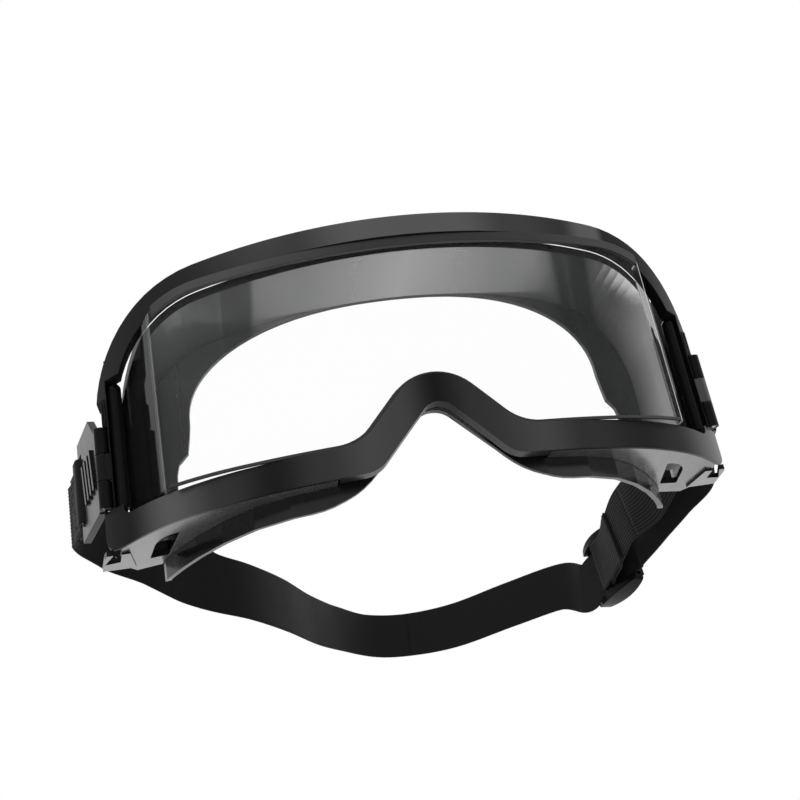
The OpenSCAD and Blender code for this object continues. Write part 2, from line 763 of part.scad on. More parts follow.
// The buckle's middle, the direction of the strap through it, and its outward and upward directions
buckle_at = [88.5 * wide, 121, -32.5];
buckle_run = unit([-0.32, 0.92, -0.215]);
buckle_lean = 4;
buckle_slide = 5;
buckle_out = out_dir(buckle_run, buckle_lean);
buckle_up = up_dir(buckle_run, buckle_lean);
function through(u) = concat(buckle_at + u * buckle_run, [buckle_lean]);

// Route of the head strap from the right clip to the left one, with its lean in degrees
strap_route = [
    concat(leave(strap_start, outer_v), [0]),
    concat(leave(strap_start + 4, outer_v), [0]),
    concat(leave(strap_start + 8, outer_v), [-3]),
    free(101.5, 47, -11, -13),
    free(102.5, 58, -16, -20),
    free(98.5, 71, -20, -16),
    free(95, 86, -25, -6),
    through(-buckle_len / 2 - 5),
    through(-buckle_len / 2 - 1),
    through(2),
    through(12),
    through(buckle_len / 2 + buckle_slide + 2),
    free(77, 154, -32, 8),
    free(58, 168, -33.5, 8),
    free(36, 183, -36, 9),
    free(17, 192, -35.5, 12),
    free(0.5, 189, -34, 9),
    free(-13.5, 172, -32, 4),
    free(-26, 142, -32, 1),
    free(-38, 104, -32, 0),
    free(-50, 80, -30.5, 1),
    free(-63.5, 71, -26.5, 3),
    free(-78, 73, -16.5, 2),
    free(-91.5, 69, -10.5, 1),
    free(-98.5, 59, -7.5, 0),
    concat(mirrored(leave(sewn_end + 8.5, wing_t / 2)), [0]),
    concat(mirrored(leave(sewn_end + 4.5, wing_t / 2)), [0]),
    concat(mirrored(leave(sewn_end + 0.5, wing_t / 2)), [0])
];

module head_strap() {
    color([0.13, 0.13, 0.14]) strip(filled(strap_route, 4), strap_w, strap_t);
}

// Places its children in the buckle's own axes: along the strap, up its width and outward
module at_buckle() {
    multmatrix([
        [buckle_run[0], buckle_up[0], buckle_out[0], buckle_at[0]],
        [buckle_run[1], buckle_up[1], buckle_out[1], buckle_at[1]],
        [buckle_run[2], buckle_up[2], buckle_out[2], buckle_at[2]],
        [0, 0, 0, 1]]) children();
}

bar_out = strap_t / 2 + strap_gap;
bar_in = strap_t / 2 + strap_gap + strap_t + 2 * fold_gap;
rail_in = strap_w / 2 + strap_gap + 0.5;
rail_bow = 3.2;
rail_arch = 1.6;

// Side view of a rail, which arches outward and bows inward to carry the middle bar
function rail_side() =
    let (h = buckle_len / 2)
    let (crest = bar_out + buckle_t - 0.4)
    concat([for (i = [0:12]) let (u = -h + i * h / 6) [u * 0.96, crest + rail_arch * (1 - pow(u / h, 2))]],
        [for (i = [0:12]) let (u = h - i * h / 6) [u, -bar_in - buckle_t + rail_bow * pow(u / h, 2)]]);

// Face view of the buckle, whose long sides bulge between round corners
module buckle_face() {
    h = buckle_len / 2;
    w = rail_in + rail_w;
    offset(2) offset(-2) polygon(concat(
        [for (i = [0:12]) let (u = -h + i * h / 6) [u, w - 1.2 * pow(u / h, 2)]],
        [for (i = [0:12]) let (u = h - i * h / 6) [u, -w + 1.2 * pow(u / h, 2)]]));
}

module slide_buckle() {
    color([0.09, 0.09, 0.10]) at_buckle() intersection() {
        union() {
            for (e = [-1, 1]) {
                translate([0, e * (rail_in + rail_w / 2) + rail_w / 2, 0]) rotate([90, 0, 0])
                    linear_extrude(rail_w) polygon(rail_side());
                translate([e * (buckle_len - buckle_bar) / 2 - buckle_bar / 2, -rail_in - 0.5, bar_out])
                    cube([buckle_bar, 2 * rail_in + 1, buckle_t]);
            }
            translate([-buckle_bar / 2, -rail_in - 0.5, -bar_in - buckle_t])
                cube([buckle_bar, 2 * rail_in + 1, buckle_t]);
        }
        linear_extrude(tall, center = true) buckle_face();
    }
}

// Sewn end of the webbing, folded round the buckle's middle bar
module buckle_fold() {
    h = buckle_bar / 2 + fold_gap;
    top = -bar_in + fold_gap;
    low = -bar_in - buckle_t - fold_gap;
    color([0.11, 0.11, 0.12]) at_buckle() translate([0, strap_w / 2, 0]) rotate([90, 0, 0])
        linear_extrude(strap_w) difference() {
            translate([-h - strap_t, low - strap_t]) square([2 * h + 2 * strap_t, top - low + 2 * strap_t]);
            translate([-h, low]) square([2 * h, top - low]);
        }
}

inner_start = place(strap_route[0]) + (inner_v - outer_v) * [wing_side[0], wing_side[1], 0];
inner_end = buckle_at - buckle_run * (buckle_bar / 2 + fold_gap + strap_t + 0.4)
    - buckle_out * (bar_in + buckle_t);
loop_route = [
    concat(inner_start, [0]),
    concat(inner_start + 4 * [wing_dir[0], wing_dir[1], 0], [0]),
    concat(inner_start + 8 * [wing_dir[0], wing_dir[1], 0], [-3]),
    free(92, 46, -10, -13),
    free(89.5, 58, -15.5, -23),
    free(87.5, 71, -20.5, -21),
    free(84.5, 84, -22.5, -4),
    free(84, 97, -26.5, -4),
    concat(inner_end - 7 * buckle_run, [buckle_lean]),
    concat(inner_end, [buckle_lean])
];
loop_path = filled(loop_route, 4);

module loop_strap() {
    color([0.17, 0.17, 0.18]) strip(loop_path, strap_w, strap_t);
}

// Box of thread sewn on a strap, lying in the XY plane
thread = 0.5;
module box_stitch(len_x, len_y) {
    for (e = [-1, 1]) {
        translate([-len_x / 2, e * len_y / 2 - thread / 2, 0]) cube([len_x, thread, thread * 0.6]);
        translate([e * len_x / 2 - thread / 2, -len_y / 2, 0]) cube([thread, len_y, thread * 0.6]);
    }
}

module left_stitching() {
    color([0.2, 0.2, 0.21]) mirror([1, 0, 0])
        on_wing(wing_reach + sewn_len / 2 + 1.5, wing_t / 2 + strap_t)
            translate([0, 0, strap_z]) rotate([90, 0, 0])
                mirror([0, 0, 1]) box_stitch(sewn_len - 6, strap_w - 5);
}

module buckle_stitching() {
    color([0.2, 0.2, 0.21]) at_buckle()
        translate([0, 0, -bar_in - buckle_t - fold_gap - strap_t - thread * 0.6])
            box_stitch(4.5, strap_w - 5);
}

front_frame();
lens();
upper_gasket();
lower_gasket();
body();
face_seal();
left_base_plate();
right_base_plate();
left_rod();
right_rod();
left_hinge_pin();
right_hinge_pin();
left_strap_clip();
right_strap_clip();
left_strap_fold();
left_stitching();
right_strap_fold();
head_strap();
loop_strap();
slide_buckle();
buckle_fold();
buckle_stitching();
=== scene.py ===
import math

import bmesh
import bpy
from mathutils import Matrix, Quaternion, Vector


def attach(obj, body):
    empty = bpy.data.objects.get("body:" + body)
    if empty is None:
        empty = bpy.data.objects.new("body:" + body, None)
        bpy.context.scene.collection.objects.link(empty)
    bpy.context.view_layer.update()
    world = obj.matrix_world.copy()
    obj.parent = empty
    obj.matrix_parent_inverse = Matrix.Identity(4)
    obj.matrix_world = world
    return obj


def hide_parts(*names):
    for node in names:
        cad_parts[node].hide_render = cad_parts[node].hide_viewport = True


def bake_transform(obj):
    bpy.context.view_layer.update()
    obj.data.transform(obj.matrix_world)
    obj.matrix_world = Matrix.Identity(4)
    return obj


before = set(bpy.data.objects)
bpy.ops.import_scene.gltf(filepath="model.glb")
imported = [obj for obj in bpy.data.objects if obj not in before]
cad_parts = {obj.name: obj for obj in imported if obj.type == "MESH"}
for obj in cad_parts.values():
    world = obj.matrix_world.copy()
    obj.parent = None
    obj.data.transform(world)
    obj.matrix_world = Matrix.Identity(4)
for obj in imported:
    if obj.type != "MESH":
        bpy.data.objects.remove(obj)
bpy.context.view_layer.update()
mm = 0.001
upright = Vector((0, 0, 1))

# camera, fitted to the photograph
cameraView = {
    "place": (-0.05472, -0.27654, -0.10737),
    "target": (-0.00463, -0.0075, -0.00361),
    "roll": -0.18954,
    "focalLength": 48.536,
}


def makeCamera(view):
    lens = bpy.data.cameras.new("photoCamera")
    lens.sensor_width = 36
    lens.lens = view["focalLength"]
    lens.clip_start = 0.01
    lens.clip_end = 20
    camera = bpy.data.objects.new("photoCamera", lens)
    bpy.context.scene.collection.objects.link(camera)
    look = Vector(view["target"]) - Vector(view["place"])
    camera.location = view["place"]
    camera.rotation_mode = "QUATERNION"
    camera.rotation_quaternion = look.to_track_quat("-Z", "Y") @ Quaternion((0, 0, 1), view["roll"])
    bpy.context.scene.camera = camera


makeCamera(cameraView)
print("camera in place")


# node helpers
def newNode(tree, kind, x, y, **values):
    node = tree.nodes.new(kind)
    node.location = (x, y)
    for name, value in values.items():
        if hasattr(node, name):
            setattr(node, name, value)
        else:
            node.inputs[name].default_value = value
    return node


def join(tree, source, target):
    tree.links.new(source, target)


def paint(colour):
    # a grey level or a colour as the four numbers of a colour socket
    return (*colour, 1) if isinstance(colour, tuple) else (colour, colour, colour, 1)


def mathNode(tree, x, y, operation, first, second=None, third=None):
    # each input is a number or an output to link
    node = newNode(tree, "ShaderNodeMath", x, y, operation=operation)
    for socket, value in zip(node.inputs, (first, second, third)):
        if isinstance(value, (int, float)):
            socket.default_value = value
        elif value is not None:
            join(tree, value, socket)
    return node.outputs["Value"]


def mixNode(tree, x, y, factor, first, second, kind="RGBA"):
    # each input is a number, a painted colour or an output to link
    node = newNode(tree, "ShaderNodeMix", x, y, data_type=kind)
    for name, value in (("Factor", factor), ("A", first), ("B", second)):
        if isinstance(value, bpy.types.NodeSocket):
            join(tree, value, node.inputs[name])
        else:
            node.inputs[name].default_value = value
    return node.outputs["Result"]


def rangeNode(tree, x, y, value, fromMin, fromMax, toMin=0, toMax=1):
    node = newNode(tree, "ShaderNodeMapRange", x, y)
    node.inputs["From Min"].default_value = fromMin
    node.inputs["From Max"].default_value = fromMax
    node.inputs["To Min"].default_value = toMin
    node.inputs["To Max"].default_value = toMax
    join(tree, value, node.inputs["Value"])
    return node.outputs["Result"]


def rampNode(tree, x, y, value, levels, interpolation="LINEAR"):
    # levels is a list of (place in mm, grey level)
    first, last = levels[0][0], levels[-1][0]
    ramp = newNode(tree, "ShaderNodeValToRGB", x, y)
    ramp.color_ramp.interpolation = interpolation
    join(tree, rangeNode(tree, x - 250, y, value, first * mm, last * mm), ramp.inputs["Fac"])
    stops = ramp.color_ramp.elements
    for k, (spot, level) in enumerate(levels):
        share = (spot - first) / (last - first)
        stop = stops[0] if k == 0 else stops[-1] if k == len(levels) - 1 else stops.new(share)
        stop.color = paint(level)
    return ramp.outputs["Color"]


def coordinate(tree, x, y, kind):
    return newNode(tree, "ShaderNodeTexCoord", x, y).outputs[kind]


def splitNode(tree, x, y, source):
    node = newNode(tree, "ShaderNodeSeparateXYZ", x, y)
    join(tree, source, node.inputs["Vector"])
    return [node.outputs[name] for name in "XYZ"]


def linkedTo(shader, name):
    return shader.inputs[name].links[0].from_socket


def newGroup(name, inputs, outputs):
    group = bpy.data.node_groups.new(name, "ShaderNodeTree")
    for label, value in inputs.items():
        socket = group.interface.new_socket(label, in_out="INPUT", socket_type="NodeSocketFloat")
        socket.default_value = value
    for label in outputs:
        group.interface.new_socket(label, in_out="OUTPUT", socket_type="NodeSocketFloat")
    start = newNode(group, "NodeGroupInput", -1300, 0)
    end = newNode(group, "NodeGroupOutput", 900, 0)
    return group, start, end


def groupNode(tree, x, y, group, values):
    node = newNode(tree, "ShaderNodeGroup", x, y)
    node.node_tree = group
    for name, value in values.items():
        node.inputs[name].default_value = value
    return node


# surface of moulded or rubbed plastic: a fine grain, soft clouds and faint rubbed streaks
grainLook = {
    "grainSize": 900, "cloudSize": 30, "smear": 0.5,
    "streakSize": 220, "streakStretch": (1, 9, 1), "streakTurn": (0.2, 0.3, 0.5), "streakRough": 0.12,
    "bumpDepth": 0.04 * mm,
}


def makeGrainGroup(look):
    sizes = {"Grain Size": look["grainSize"], "Cloud Size": look["cloudSize"], "Smear": look["smear"]}
    group, start, end = newGroup("surfaceGrain", sizes, ["Height", "Cloud", "Scratch"])
    place = coordinate(group, -1300, 300, "Object")
    grain = newNode(group, "ShaderNodeTexNoise", -700, 300, Detail=3)
    cloud = newNode(group, "ShaderNodeTexNoise", -700, 0, Detail=4, Roughness=0.6)
    stretch = newNode(group, "ShaderNodeMapping", -1000, -300,
                      Scale=look["streakStretch"], Rotation=look["streakTurn"])
    scratch = newNode(group, "ShaderNodeTexNoise", -700, -300, Scale=look["streakSize"], Detail=2)
    join(group, place, grain.inputs["Vector"])
    join(group, place, cloud.inputs["Vector"])
    join(group, place, stretch.inputs["Vector"])
    join(group, stretch.outputs["Vector"], scratch.inputs["Vector"])
    join(group, start.outputs["Grain Size"], grain.inputs["Scale"])
    join(group, start.outputs["Cloud Size"], cloud.inputs["Scale"])
    streak = rangeNode(group, -400, -300, scratch.outputs["Fac"], 0.62, 0.72)
    join(group, grain.outputs["Fac"], end.inputs["Height"])
    join(group, cloud.outputs["Fac"], end.inputs["Cloud"])
    smeared = mathNode(group, -100, -300, "MULTIPLY", streak, start.outputs["Smear"])
    join(group, smeared, end.inputs["Scratch"])
    return group


grainGroup = makeGrainGroup(grainLook)

# painted reflection: the grey that the inner walls seem to mirror is painted along the width; levels are (place
# along x in mm, level), other places are in mm too
innerLook = {
    "levels": [
        (-90, 0.02), (-77, 0.025), (-71, 0.08), (-64, 0.13), (-56, 0.085), (-50.3, 0.065), (-49.7, 0.11),
        (-49, 0.045), (-41.2, 0.04), (-39.8, 0.15), (-25, 0.17), (-13, 0.225), (1, 0.29), (16, 0.24),
        (32, 0.18), (44, 0.20), (48.2, 0.14), (50.6, 0.018), (52.6, 0.02), (53.6, 0.035), (55, 0.014),
        (59, 0.012), (61, 0.11), (65, 0.26), (68, 0.42), (72, 0.55), (75, 0.75), (80, 0.95)],
    "slant": 0.35, "slantTo": 40,
    "toneGain": 1.5, "toneMost": 0.95,
    "mirrorGain": 1.75, "mirrorPower": 0.6, "wallMirror": 0.4, "wallFrom": 66, "wallTo": 76,
    # sealLeft and sealRight: painted shade, the seal's grey raised on the left and darkened on the right
    "sealLeft": 1.9, "sealRight": 0.08, "sealReach": 60,
    "arcBend": 5.3, "arcStart": -29, "arcEnd": -19, "arcCore": 2, "arcLines": 1400, "arcStrength": 0.12,
    "coat": 0.3, "coatRough": 0.18,
}
# where the masks start and are full: heights and depths in mm, turns as a part of the normal
zoneLook = {
    "inward": (-1, -4), "sealLow": -24, "sealHigh": -18, "lipHigh": -29, "lipLow": -30,
    "aheadTurn": (-0.2, -0.5), "underTurn": (-0.6, -0.85),
}


def makeInnerGroup(look, zones):
    # painted reflection: tone and mirror share of the inner walls, painted along the width, with faint bright
    # arcs, and masks of where they lie
    group, start, end = newGroup("innerShade", {"Arc Strength": look["arcStrength"], "Seal": 0},
                                 ["Tone", "Mirror", "Inner", "Forward", "Down"])
    x, y, z = splitNode(group, -1100, 300, coordinate(group, -1300, 300, "Object"))
    turnX, turnY, turnZ = splitNode(group, -1100, -200, coordinate(group, -1300, -200, "Normal"))
    right = rangeNode(group, -900, 500, x, 0, look["slantTo"] * mm, 0, look["slant"])
    along = mathNode(group, -700, 500, "SUBTRACT", x, mathNode(group, -800, 400, "MULTIPLY", right, y))
    # painted reflection: a grey ramp along the slanted width
    grey = rampNode(group, -300, 500, along, look["levels"])
    square = mathNode(group, -900, 0, "MULTIPLY", x, x)
    arc = mathNode(group, -700, 0, "MULTIPLY_ADD", square, -look["arcBend"], y)
    # faint bright arcs painted into the reflection grey
    lines = newNode(group, "ShaderNodeTexNoise", -500, 0, noise_dimensions="1D",
                    Scale=look["arcLines"], Detail=3)
    join(group, arc, lines.inputs["W"])
    middle = (look["arcStart"] + look["arcEnd"]) / 2 * mm
    reach = (look["arcEnd"] - look["arcStart"]) / 2 * mm
    away = mathNode(group, -500, -200, "ABSOLUTE", mathNode(group, -600, -200, "SUBTRACT", arc, middle))
    near = rangeNode(group, -300, -200, away, look["arcCore"] * mm, reach, 1, 0)
    bright = rangeNode(group, -300, 0, lines.outputs["Fac"], 0.55, 0.75)
    glow = mathNode(group, -100, 0, "MULTIPLY", mathNode(group, -200, -100, "MULTIPLY", bright, near),
                    start.outputs["Arc Strength"])
    level = mathNode(group, 100, 300, "MULTIPLY_ADD", grey, glow, grey)
    # painted shade: on the seal the grey is raised on the left and darkened towards the right
    sealEnd = look["sealReach"] * mm
    side = rangeNode(group, 0, 150, x, -sealEnd, sealEnd, look["sealLeft"] - 1, look["sealRight"] - 1)
    gain = mathNode(group, 200, 150, "MULTIPLY_ADD", side, start.outputs["Seal"], 1)
    whole = mathNode(group, 400, 300, "MULTIPLY", level, gain)
    tone = mathNode(group, 500, 300, "MULTIPLY", whole, look["toneGain"])
    wall = rangeNode(group, 400, -100, x, look["wallFrom"] * mm, look["wallTo"] * mm,
                     look["mirrorGain"], look["wallMirror"])
    curve = mathNode(group, 500, 100, "POWER", whole, look["mirrorPower"])
    mirror = mathNode(group, 600, 100, "MULTIPLY", curve, wall)
    join(group, mathNode(group, 700, 300, "MINIMUM", tone, look["toneMost"]), end.inputs["Tone"])
    join(group, mathNode(group, 700, 100, "MINIMUM", mirror, 1), end.inputs["Mirror"])
    inward = mathNode(group, -700, -500, "ADD", mathNode(group, -900, -500, "MULTIPLY", x, turnX),
                      mathNode(group, -900, -650, "MULTIPLY", z, turnZ))
    wallFrom, wallFull = zones["inward"]
    join(group, rangeNode(group, -500, -500, inward, wallFrom * mm, wallFull * mm), end.inputs["Inner"])
    high = rangeNode(group, -700, -900, z, zones["sealLow"] * mm, zones["sealHigh"] * mm)
    ahead = rangeNode(group, -700, -800, turnY, *zones["aheadTurn"])
    join(group, mathNode(group, -500, -800, "MULTIPLY", ahead, high), end.inputs["Forward"])
    low = rangeNode(group, -700, -1100, z, zones["lipHigh"] * mm, zones["lipLow"] * mm)
    under = rangeNode(group, -700, -1000, turnZ, *zones["underTurn"])
    join(group, mathNode(group, -500, -1000, "MULTIPLY", under, low), end.inputs["Down"])
    return group


innerGroup = makeInnerGroup(innerLook, zoneLook)


def newMaterial(name):
    material = bpy.data.materials.new(name)
    material.use_nodes = True
    tree = material.node_tree
    shader = tree.nodes["Principled BSDF"]
    return material, tree, shader


def shaderOf(material):
    return material.node_tree, material.node_tree.nodes["Principled BSDF"]


def mouldedMaterial(name, look):
    # smooth and rough are the ends of the roughness, edge is the radius that a sharp edge seems to have
    material, tree, shader = newMaterial(name)
    shader.inputs["IOR"].default_value = 1.5
    shader.inputs["Specular IOR Level"].default_value = look["specular"]
    grain = groupNode(tree, -900, 0, grainGroup, {
        "Grain Size": look["grainSize"], "Cloud Size": look["cloudSize"], "Smear": look["smear"]})
    colour = mixNode(tree, -500, 300, grain.outputs["Cloud"], paint(look["dark"]), paint(look["light"]))
    rough = rangeNode(tree, -500, -50, grain.outputs["Cloud"], 0.3, 0.7, look["smooth"], look["rough"])
    more = mathNode(tree, -300, -50, "MULTIPLY_ADD", grain.outputs["Scratch"],
                    grainLook["streakRough"], rough)
    edge = newNode(tree, "ShaderNodeBevel", -500, -450, samples=4, Radius=look["edge"])
    bump = newNode(tree, "ShaderNodeBump", -250, -300,
                   Strength=look["bump"], Distance=grainLook["bumpDepth"])
    join(tree, grain.outputs["Height"], bump.inputs["Height"])
    join(tree, edge.outputs["Normal"], bump.inputs["Normal"])
    join(tree, colour, shader.inputs["Base Color"])
    join(tree, more, shader.inputs["Roughness"])
    join(tree, bump.outputs["Normal"], shader.inputs["Normal"])
    return material


def addInnerShade(material, output, seal, look):
    # painted reflection: the inner walls get a painted grey and mirror share that change along the width, and
    # the coat ends there
    tree, shader = shaderOf(material)
    shade = groupNode(tree, -900, 600, innerGroup, {"Seal": seal})
    mask = shade.outputs[output]
    tone = newNode(tree, "ShaderNodeCombineColor", -400, 600)
    for channel in ("Red", "Green", "Blue"):
        join(tree, shade.outputs["Tone"], tone.inputs[channel])
    blend = mixNode(tree, -200, 500, mask, linkedTo(shader, "Base Color"), tone.outputs["Color"])
    mirror = mathNode(tree, -200, 250, "MULTIPLY", mask, shade.outputs["Mirror"])
    coat = mathNode(tree, -200, 100, "MULTIPLY_ADD", mask, -look["coat"], look["coat"])
    join(tree, blend, shader.inputs["Base Color"])
    join(tree, mirror, shader.inputs["Metallic"])
    join(tree, coat, shader.inputs["Coat Weight"])
    shader.inputs["Coat Roughness"].default_value = look["coatRough"]
    return shade


# painted highlight on the seal's lower edge: its grey level and where it fades in
lipHighlightLook = {"level": 0.12, "front": 0.02, "rearFrom": 18, "rearTo": 24}


def addLipHighlight(material, shade, look):
    # painted highlight: the seal's thin lower edge is painted light and mirror-like near its rear ends
    tree, shader = shaderOf(material)
    y = splitNode(tree, -900, 900, coordinate(tree, -1100, 900, "Object"))[1]
    rear = rangeNode(tree, -700, 900, y, look["rearFrom"] * mm, look["rearTo"] * mm, look["front"], 1)
    share = mathNode(tree, -500, 900, "MULTIPLY", shade.outputs["Down"], rear)
    lip = mixNode(tree, 0, 500, share, linkedTo(shader, "Base Color"), paint(look["level"]))
    mirror = mathNode(tree, 0, 250, "MAXIMUM", linkedTo(shader, "Metallic"), share)
    join(tree, lip, shader.inputs["Base Color"])
    join(tree, mirror, shader.inputs["Metallic"])


# the plate: black paint for its slot walls and a mirror share for its painted reflection below
plateLook = {"wall": 0.01, "mirror": 0.85}


def shineBelow(material, look):
    # painted reflection and shade: only the flat underside mirrors the room, with a grey painted in, and the
    # slot's walls are painted black
    tree, shader = shaderOf(material)
    turnZ = splitNode(tree, -900, 700, coordinate(tree, -1100, 700, "Normal"))[2]
    below = rangeNode(tree, -600, 700, turnZ, *zoneLook["underTurn"])
    blend = mixNode(tree, -250, 500, below, paint(look["wall"]), linkedTo(shader, "Base Color"))
    join(tree, blend, shader.inputs["Base Color"])
    join(tree, mathNode(tree, -250, 250, "MULTIPLY", below, look["mirror"]), shader.inputs["Metallic"])


# painted highlights: coat weight along the front band, as (place along x in mm, weight), above and below a soft
# border
bandLook = {
    "upper": [(-90, 0.05), (-60, 0.05), (-30, 0.15), (-10, 0.75), (15, 0.75), (30, 0.3), (46, 0.1), (52, 0.4),
              (57, 0.4), (60, 0), (90, 0)],
    "lower": [(-90, 0), (-79, 0), (-68, 0.75), (-55, 0.2), (-42, 0), (-30, 0.2), (-18, 0.45), (-10, 0.4),
              (0, 0), (10, 0.2), (25, 0.4), (38, 0.1), (55, 0), (66, 0.05), (78, 0.4), (90, 0.5)],
    "borderLow": -4, "borderHigh": 12, "coatRough": 0.28, "coatIor": 1.9,
}


def addBandGloss(material, look):
    # painted highlights: broad soft highlights placed along the front band by its coat weight, other ones above
    # than below
    group, start, end = newGroup("bandGloss", {"Gain": 1}, ["Gloss"])
    x, y, z = splitNode(group, -1100, 300, coordinate(group, -1300, 300, "Object"))
    upper, lower = (rampNode(group, -500, height, x, look[name], "EASE")
                    for name, height in (("upper", 300), ("lower", 0)))
    border = rangeNode(group, -300, 500, z, look["borderLow"] * mm, look["borderHigh"] * mm)
    pick = mixNode(group, 0, 100, border, lower, upper, "FLOAT")
    join(group, mathNode(group, 300, 100, "MULTIPLY", pick, start.outputs["Gain"]), end.inputs["Gloss"])
    tree, shader = shaderOf(material)
    gloss = groupNode(tree, -500, -700, group, {"Gain": 1})
    shader.inputs["Coat IOR"].default_value = look["coatIor"]
    shader.inputs["Coat Roughness"].default_value = look["coatRough"]
    join(tree, gloss.outputs["Gloss"], shader.inputs["Coat Weight"])


satinBlack = mouldedMaterial("satinBlack", {
    "dark": (0.007, 0.007, 0.008), "light": (0.013, 0.013, 0.014), "smooth": 0.30, "rough": 0.42,
    "grainSize": 2600, "cloudSize": 35, "smear": 0.3, "bump": 0.15, "edge": 0.5 * mm, "specular": 0.05})
glossBlack = mouldedMaterial("glossBlack", {
    "dark": (0.005, 0.005, 0.006), "light": (0.009, 0.009, 0.010), "smooth": 0.12, "rough": 0.24,
    "grainSize": 1200, "cloudSize": 50, "smear": 0.5, "bump": 0.08, "edge": 0.4 * mm, "specular": 0.05})
# painted reflection: the black plate gets a grey colour that turns into a mirror on its underside
plateBlack = mouldedMaterial("plateBlack", {
    "dark": (0.15, 0.15, 0.153), "light": (0.34, 0.34, 0.344), "smooth": 0.16, "rough": 0.30,
    "grainSize": 500, "cloudSize": 90, "smear": 0.8, "bump": 0.15, "edge": 0.2 * mm, "specular": 0.05})
bodyBlack = mouldedMaterial("bodyBlack", {
    "dark": (0.006, 0.006, 0.007), "light": (0.011, 0.011, 0.012), "smooth": 0.16, "rough": 0.24,
    "grainSize": 1600, "cloudSize": 25, "smear": 0.3, "bump": 0.03, "edge": 0.3 * mm, "specular": 0.03})
sealBlack = mouldedMaterial("sealBlack", {
    "dark": (0.006, 0.006, 0.007), "light": (0.011, 0.011, 0.012), "smooth": 0.18, "rough": 0.28,
    "grainSize": 1600, "cloudSize": 30, "smear": 0.3, "bump": 0.05, "edge": 0.35 * mm, "specular": 0.12})
gasketGrey = mouldedMaterial("gasketGrey", {
    "dark": (0.006, 0.006, 0.007), "light": (0.014, 0.014, 0.015), "smooth": 0.30, "rough": 0.45,
    "grainSize": 1500, "cloudSize": 60, "smear": 0.2, "bump": 0.2, "edge": 0.25 * mm, "specular": 0.35})
pinSteel = mouldedMaterial("pinSteel", {
    "dark": (0.40, 0.40, 0.42), "light": (0.58, 0.58, 0.60), "smooth": 0.25, "rough": 0.40,
    "grainSize": 900, "cloudSize": 120, "smear": 0.8, "bump": 0.2, "edge": 0.1 * mm, "specular": 0.5})
shaderOf(pinSteel)[1].inputs["Metallic"].default_value = 1
shineBelow(plateBlack, plateLook)
# painted reflection on the body's inner walls and the seal's front, and a painted highlight on the seal's lip
addInnerShade(bodyBlack, "Inner", 0, innerLook)
sealShade = addInnerShade(sealBlack, "Forward", 1, innerLook)
addLipHighlight(sealBlack, sealShade, lipHighlightLook)
addBandGloss(satinBlack, bandLook)

# the lens: a painted highlight line on each bend, at bend mm from the middle, and a dark pane beyond it,
# painted shade
lensLook = {
    "tint": (0.80, 0.83, 0.85), "pale": (0.9, 0.92, 0.93), "cloudSize": 20,
    "faceAlpha": 0.02, "edgeAlpha": 0.4, "edgeBlend": 0.35, "edgePower": 5,
    "rough": 0.04, "ior": 1.585, "specular": 0.2,
    "bend": 68.5, "lineWidth": 0.22, "leftLine": 0.2, "rightLine": 0.9,
    "sideFrom": 0.6, "sideDark": 0.012, "sideAlpha": 0.65,
}


def lensMaterial(look):
    material, tree, shader = newMaterial("clearLens")
    shader.inputs["Roughness"].default_value = look["rough"]
    shader.inputs["IOR"].default_value = look["ior"]
    shader.inputs["Specular IOR Level"].default_value = look["specular"]
    width = look["lineWidth"] * mm
    edge = newNode(tree, "ShaderNodeLayerWeight", -900, -200, Blend=look["edgeBlend"])
    curve = mathNode(tree, -700, -200, "POWER", edge.outputs["Facing"], look["edgePower"])
    alpha = rangeNode(tree, -500, -200, curve, 0, 1, look["faceAlpha"], look["edgeAlpha"])
    x = splitNode(tree, -1100, -500, coordinate(tree, -1300, -500, "Object"))[0]
    outward = mathNode(tree, -1000, -600, "ABSOLUTE", x)
    offset = mathNode(tree, -900, -500, "SUBTRACT", outward, look["bend"] * mm)
    # painted highlight: a light, more opaque line on each bend, brighter on the right than on the left
    bright = rangeNode(tree, -900, -800, x, -1 * mm, 1 * mm, look["leftLine"], look["rightLine"])
    away = mathNode(tree, -800, -500, "ABSOLUTE", offset)
    near = rangeNode(tree, -700, -500, away, width / 2, width, 1, 0)
    line = mathNode(tree, -500, -600, "MULTIPLY", bright, near)
    # painted shade: the side pane beyond each bend is made dark and partly opaque
    side = rangeNode(tree, -700, -900, offset, width, look["sideFrom"] * mm)
    grain = groupNode(tree, -900, 200, grainGroup, {"Cloud Size": look["cloudSize"]})
    colour = mixNode(tree, -450, 200, grain.outputs["Cloud"], paint(look["tint"]), paint(look["pale"]))
    pane = mixNode(tree, -250, 200, side, colour, paint(look["sideDark"]))
    join(tree, pane, shader.inputs["Base Color"])
    clear = mathNode(tree, -300, -300, "MAXIMUM", alpha, line)
    tinted = mathNode(tree, -300, -500, "MULTIPLY", side, look["sideAlpha"])
    join(tree, mathNode(tree, -150, -300, "MAXIMUM", clear, tinted), shader.inputs["Alpha"])
    return material


clearLens = lensMaterial(lensLook)

# straps: ribSteps points for each rib, and edges that thin out over edgeShare of the half width
strapLook = {
    "width": 19 * mm, "thick": 1.15 * mm, "step": 1.2 * mm,
    "ribs": 17, "ribDepth": 0.16 * mm, "ribSteps": 6, "edgeShare": 0.05, "edgeFall": 0.7,
}
webLook = {
    "dark": (0.0045, 0.0045, 0.005), "light": (0.012, 0.012, 0.0125), "crest": (0.030, 0.030, 0.031),
    "rough": 0.8, "roughSpread": 0.1, "pickSize": 900, "fibreSize": 2600, "fibreShare": 0.6,
    "bump": 0.45, "bumpDepth": 0.08 * mm, "sheen": 0.06, "sheenRough": 0.4, "specular": 0.12,
}


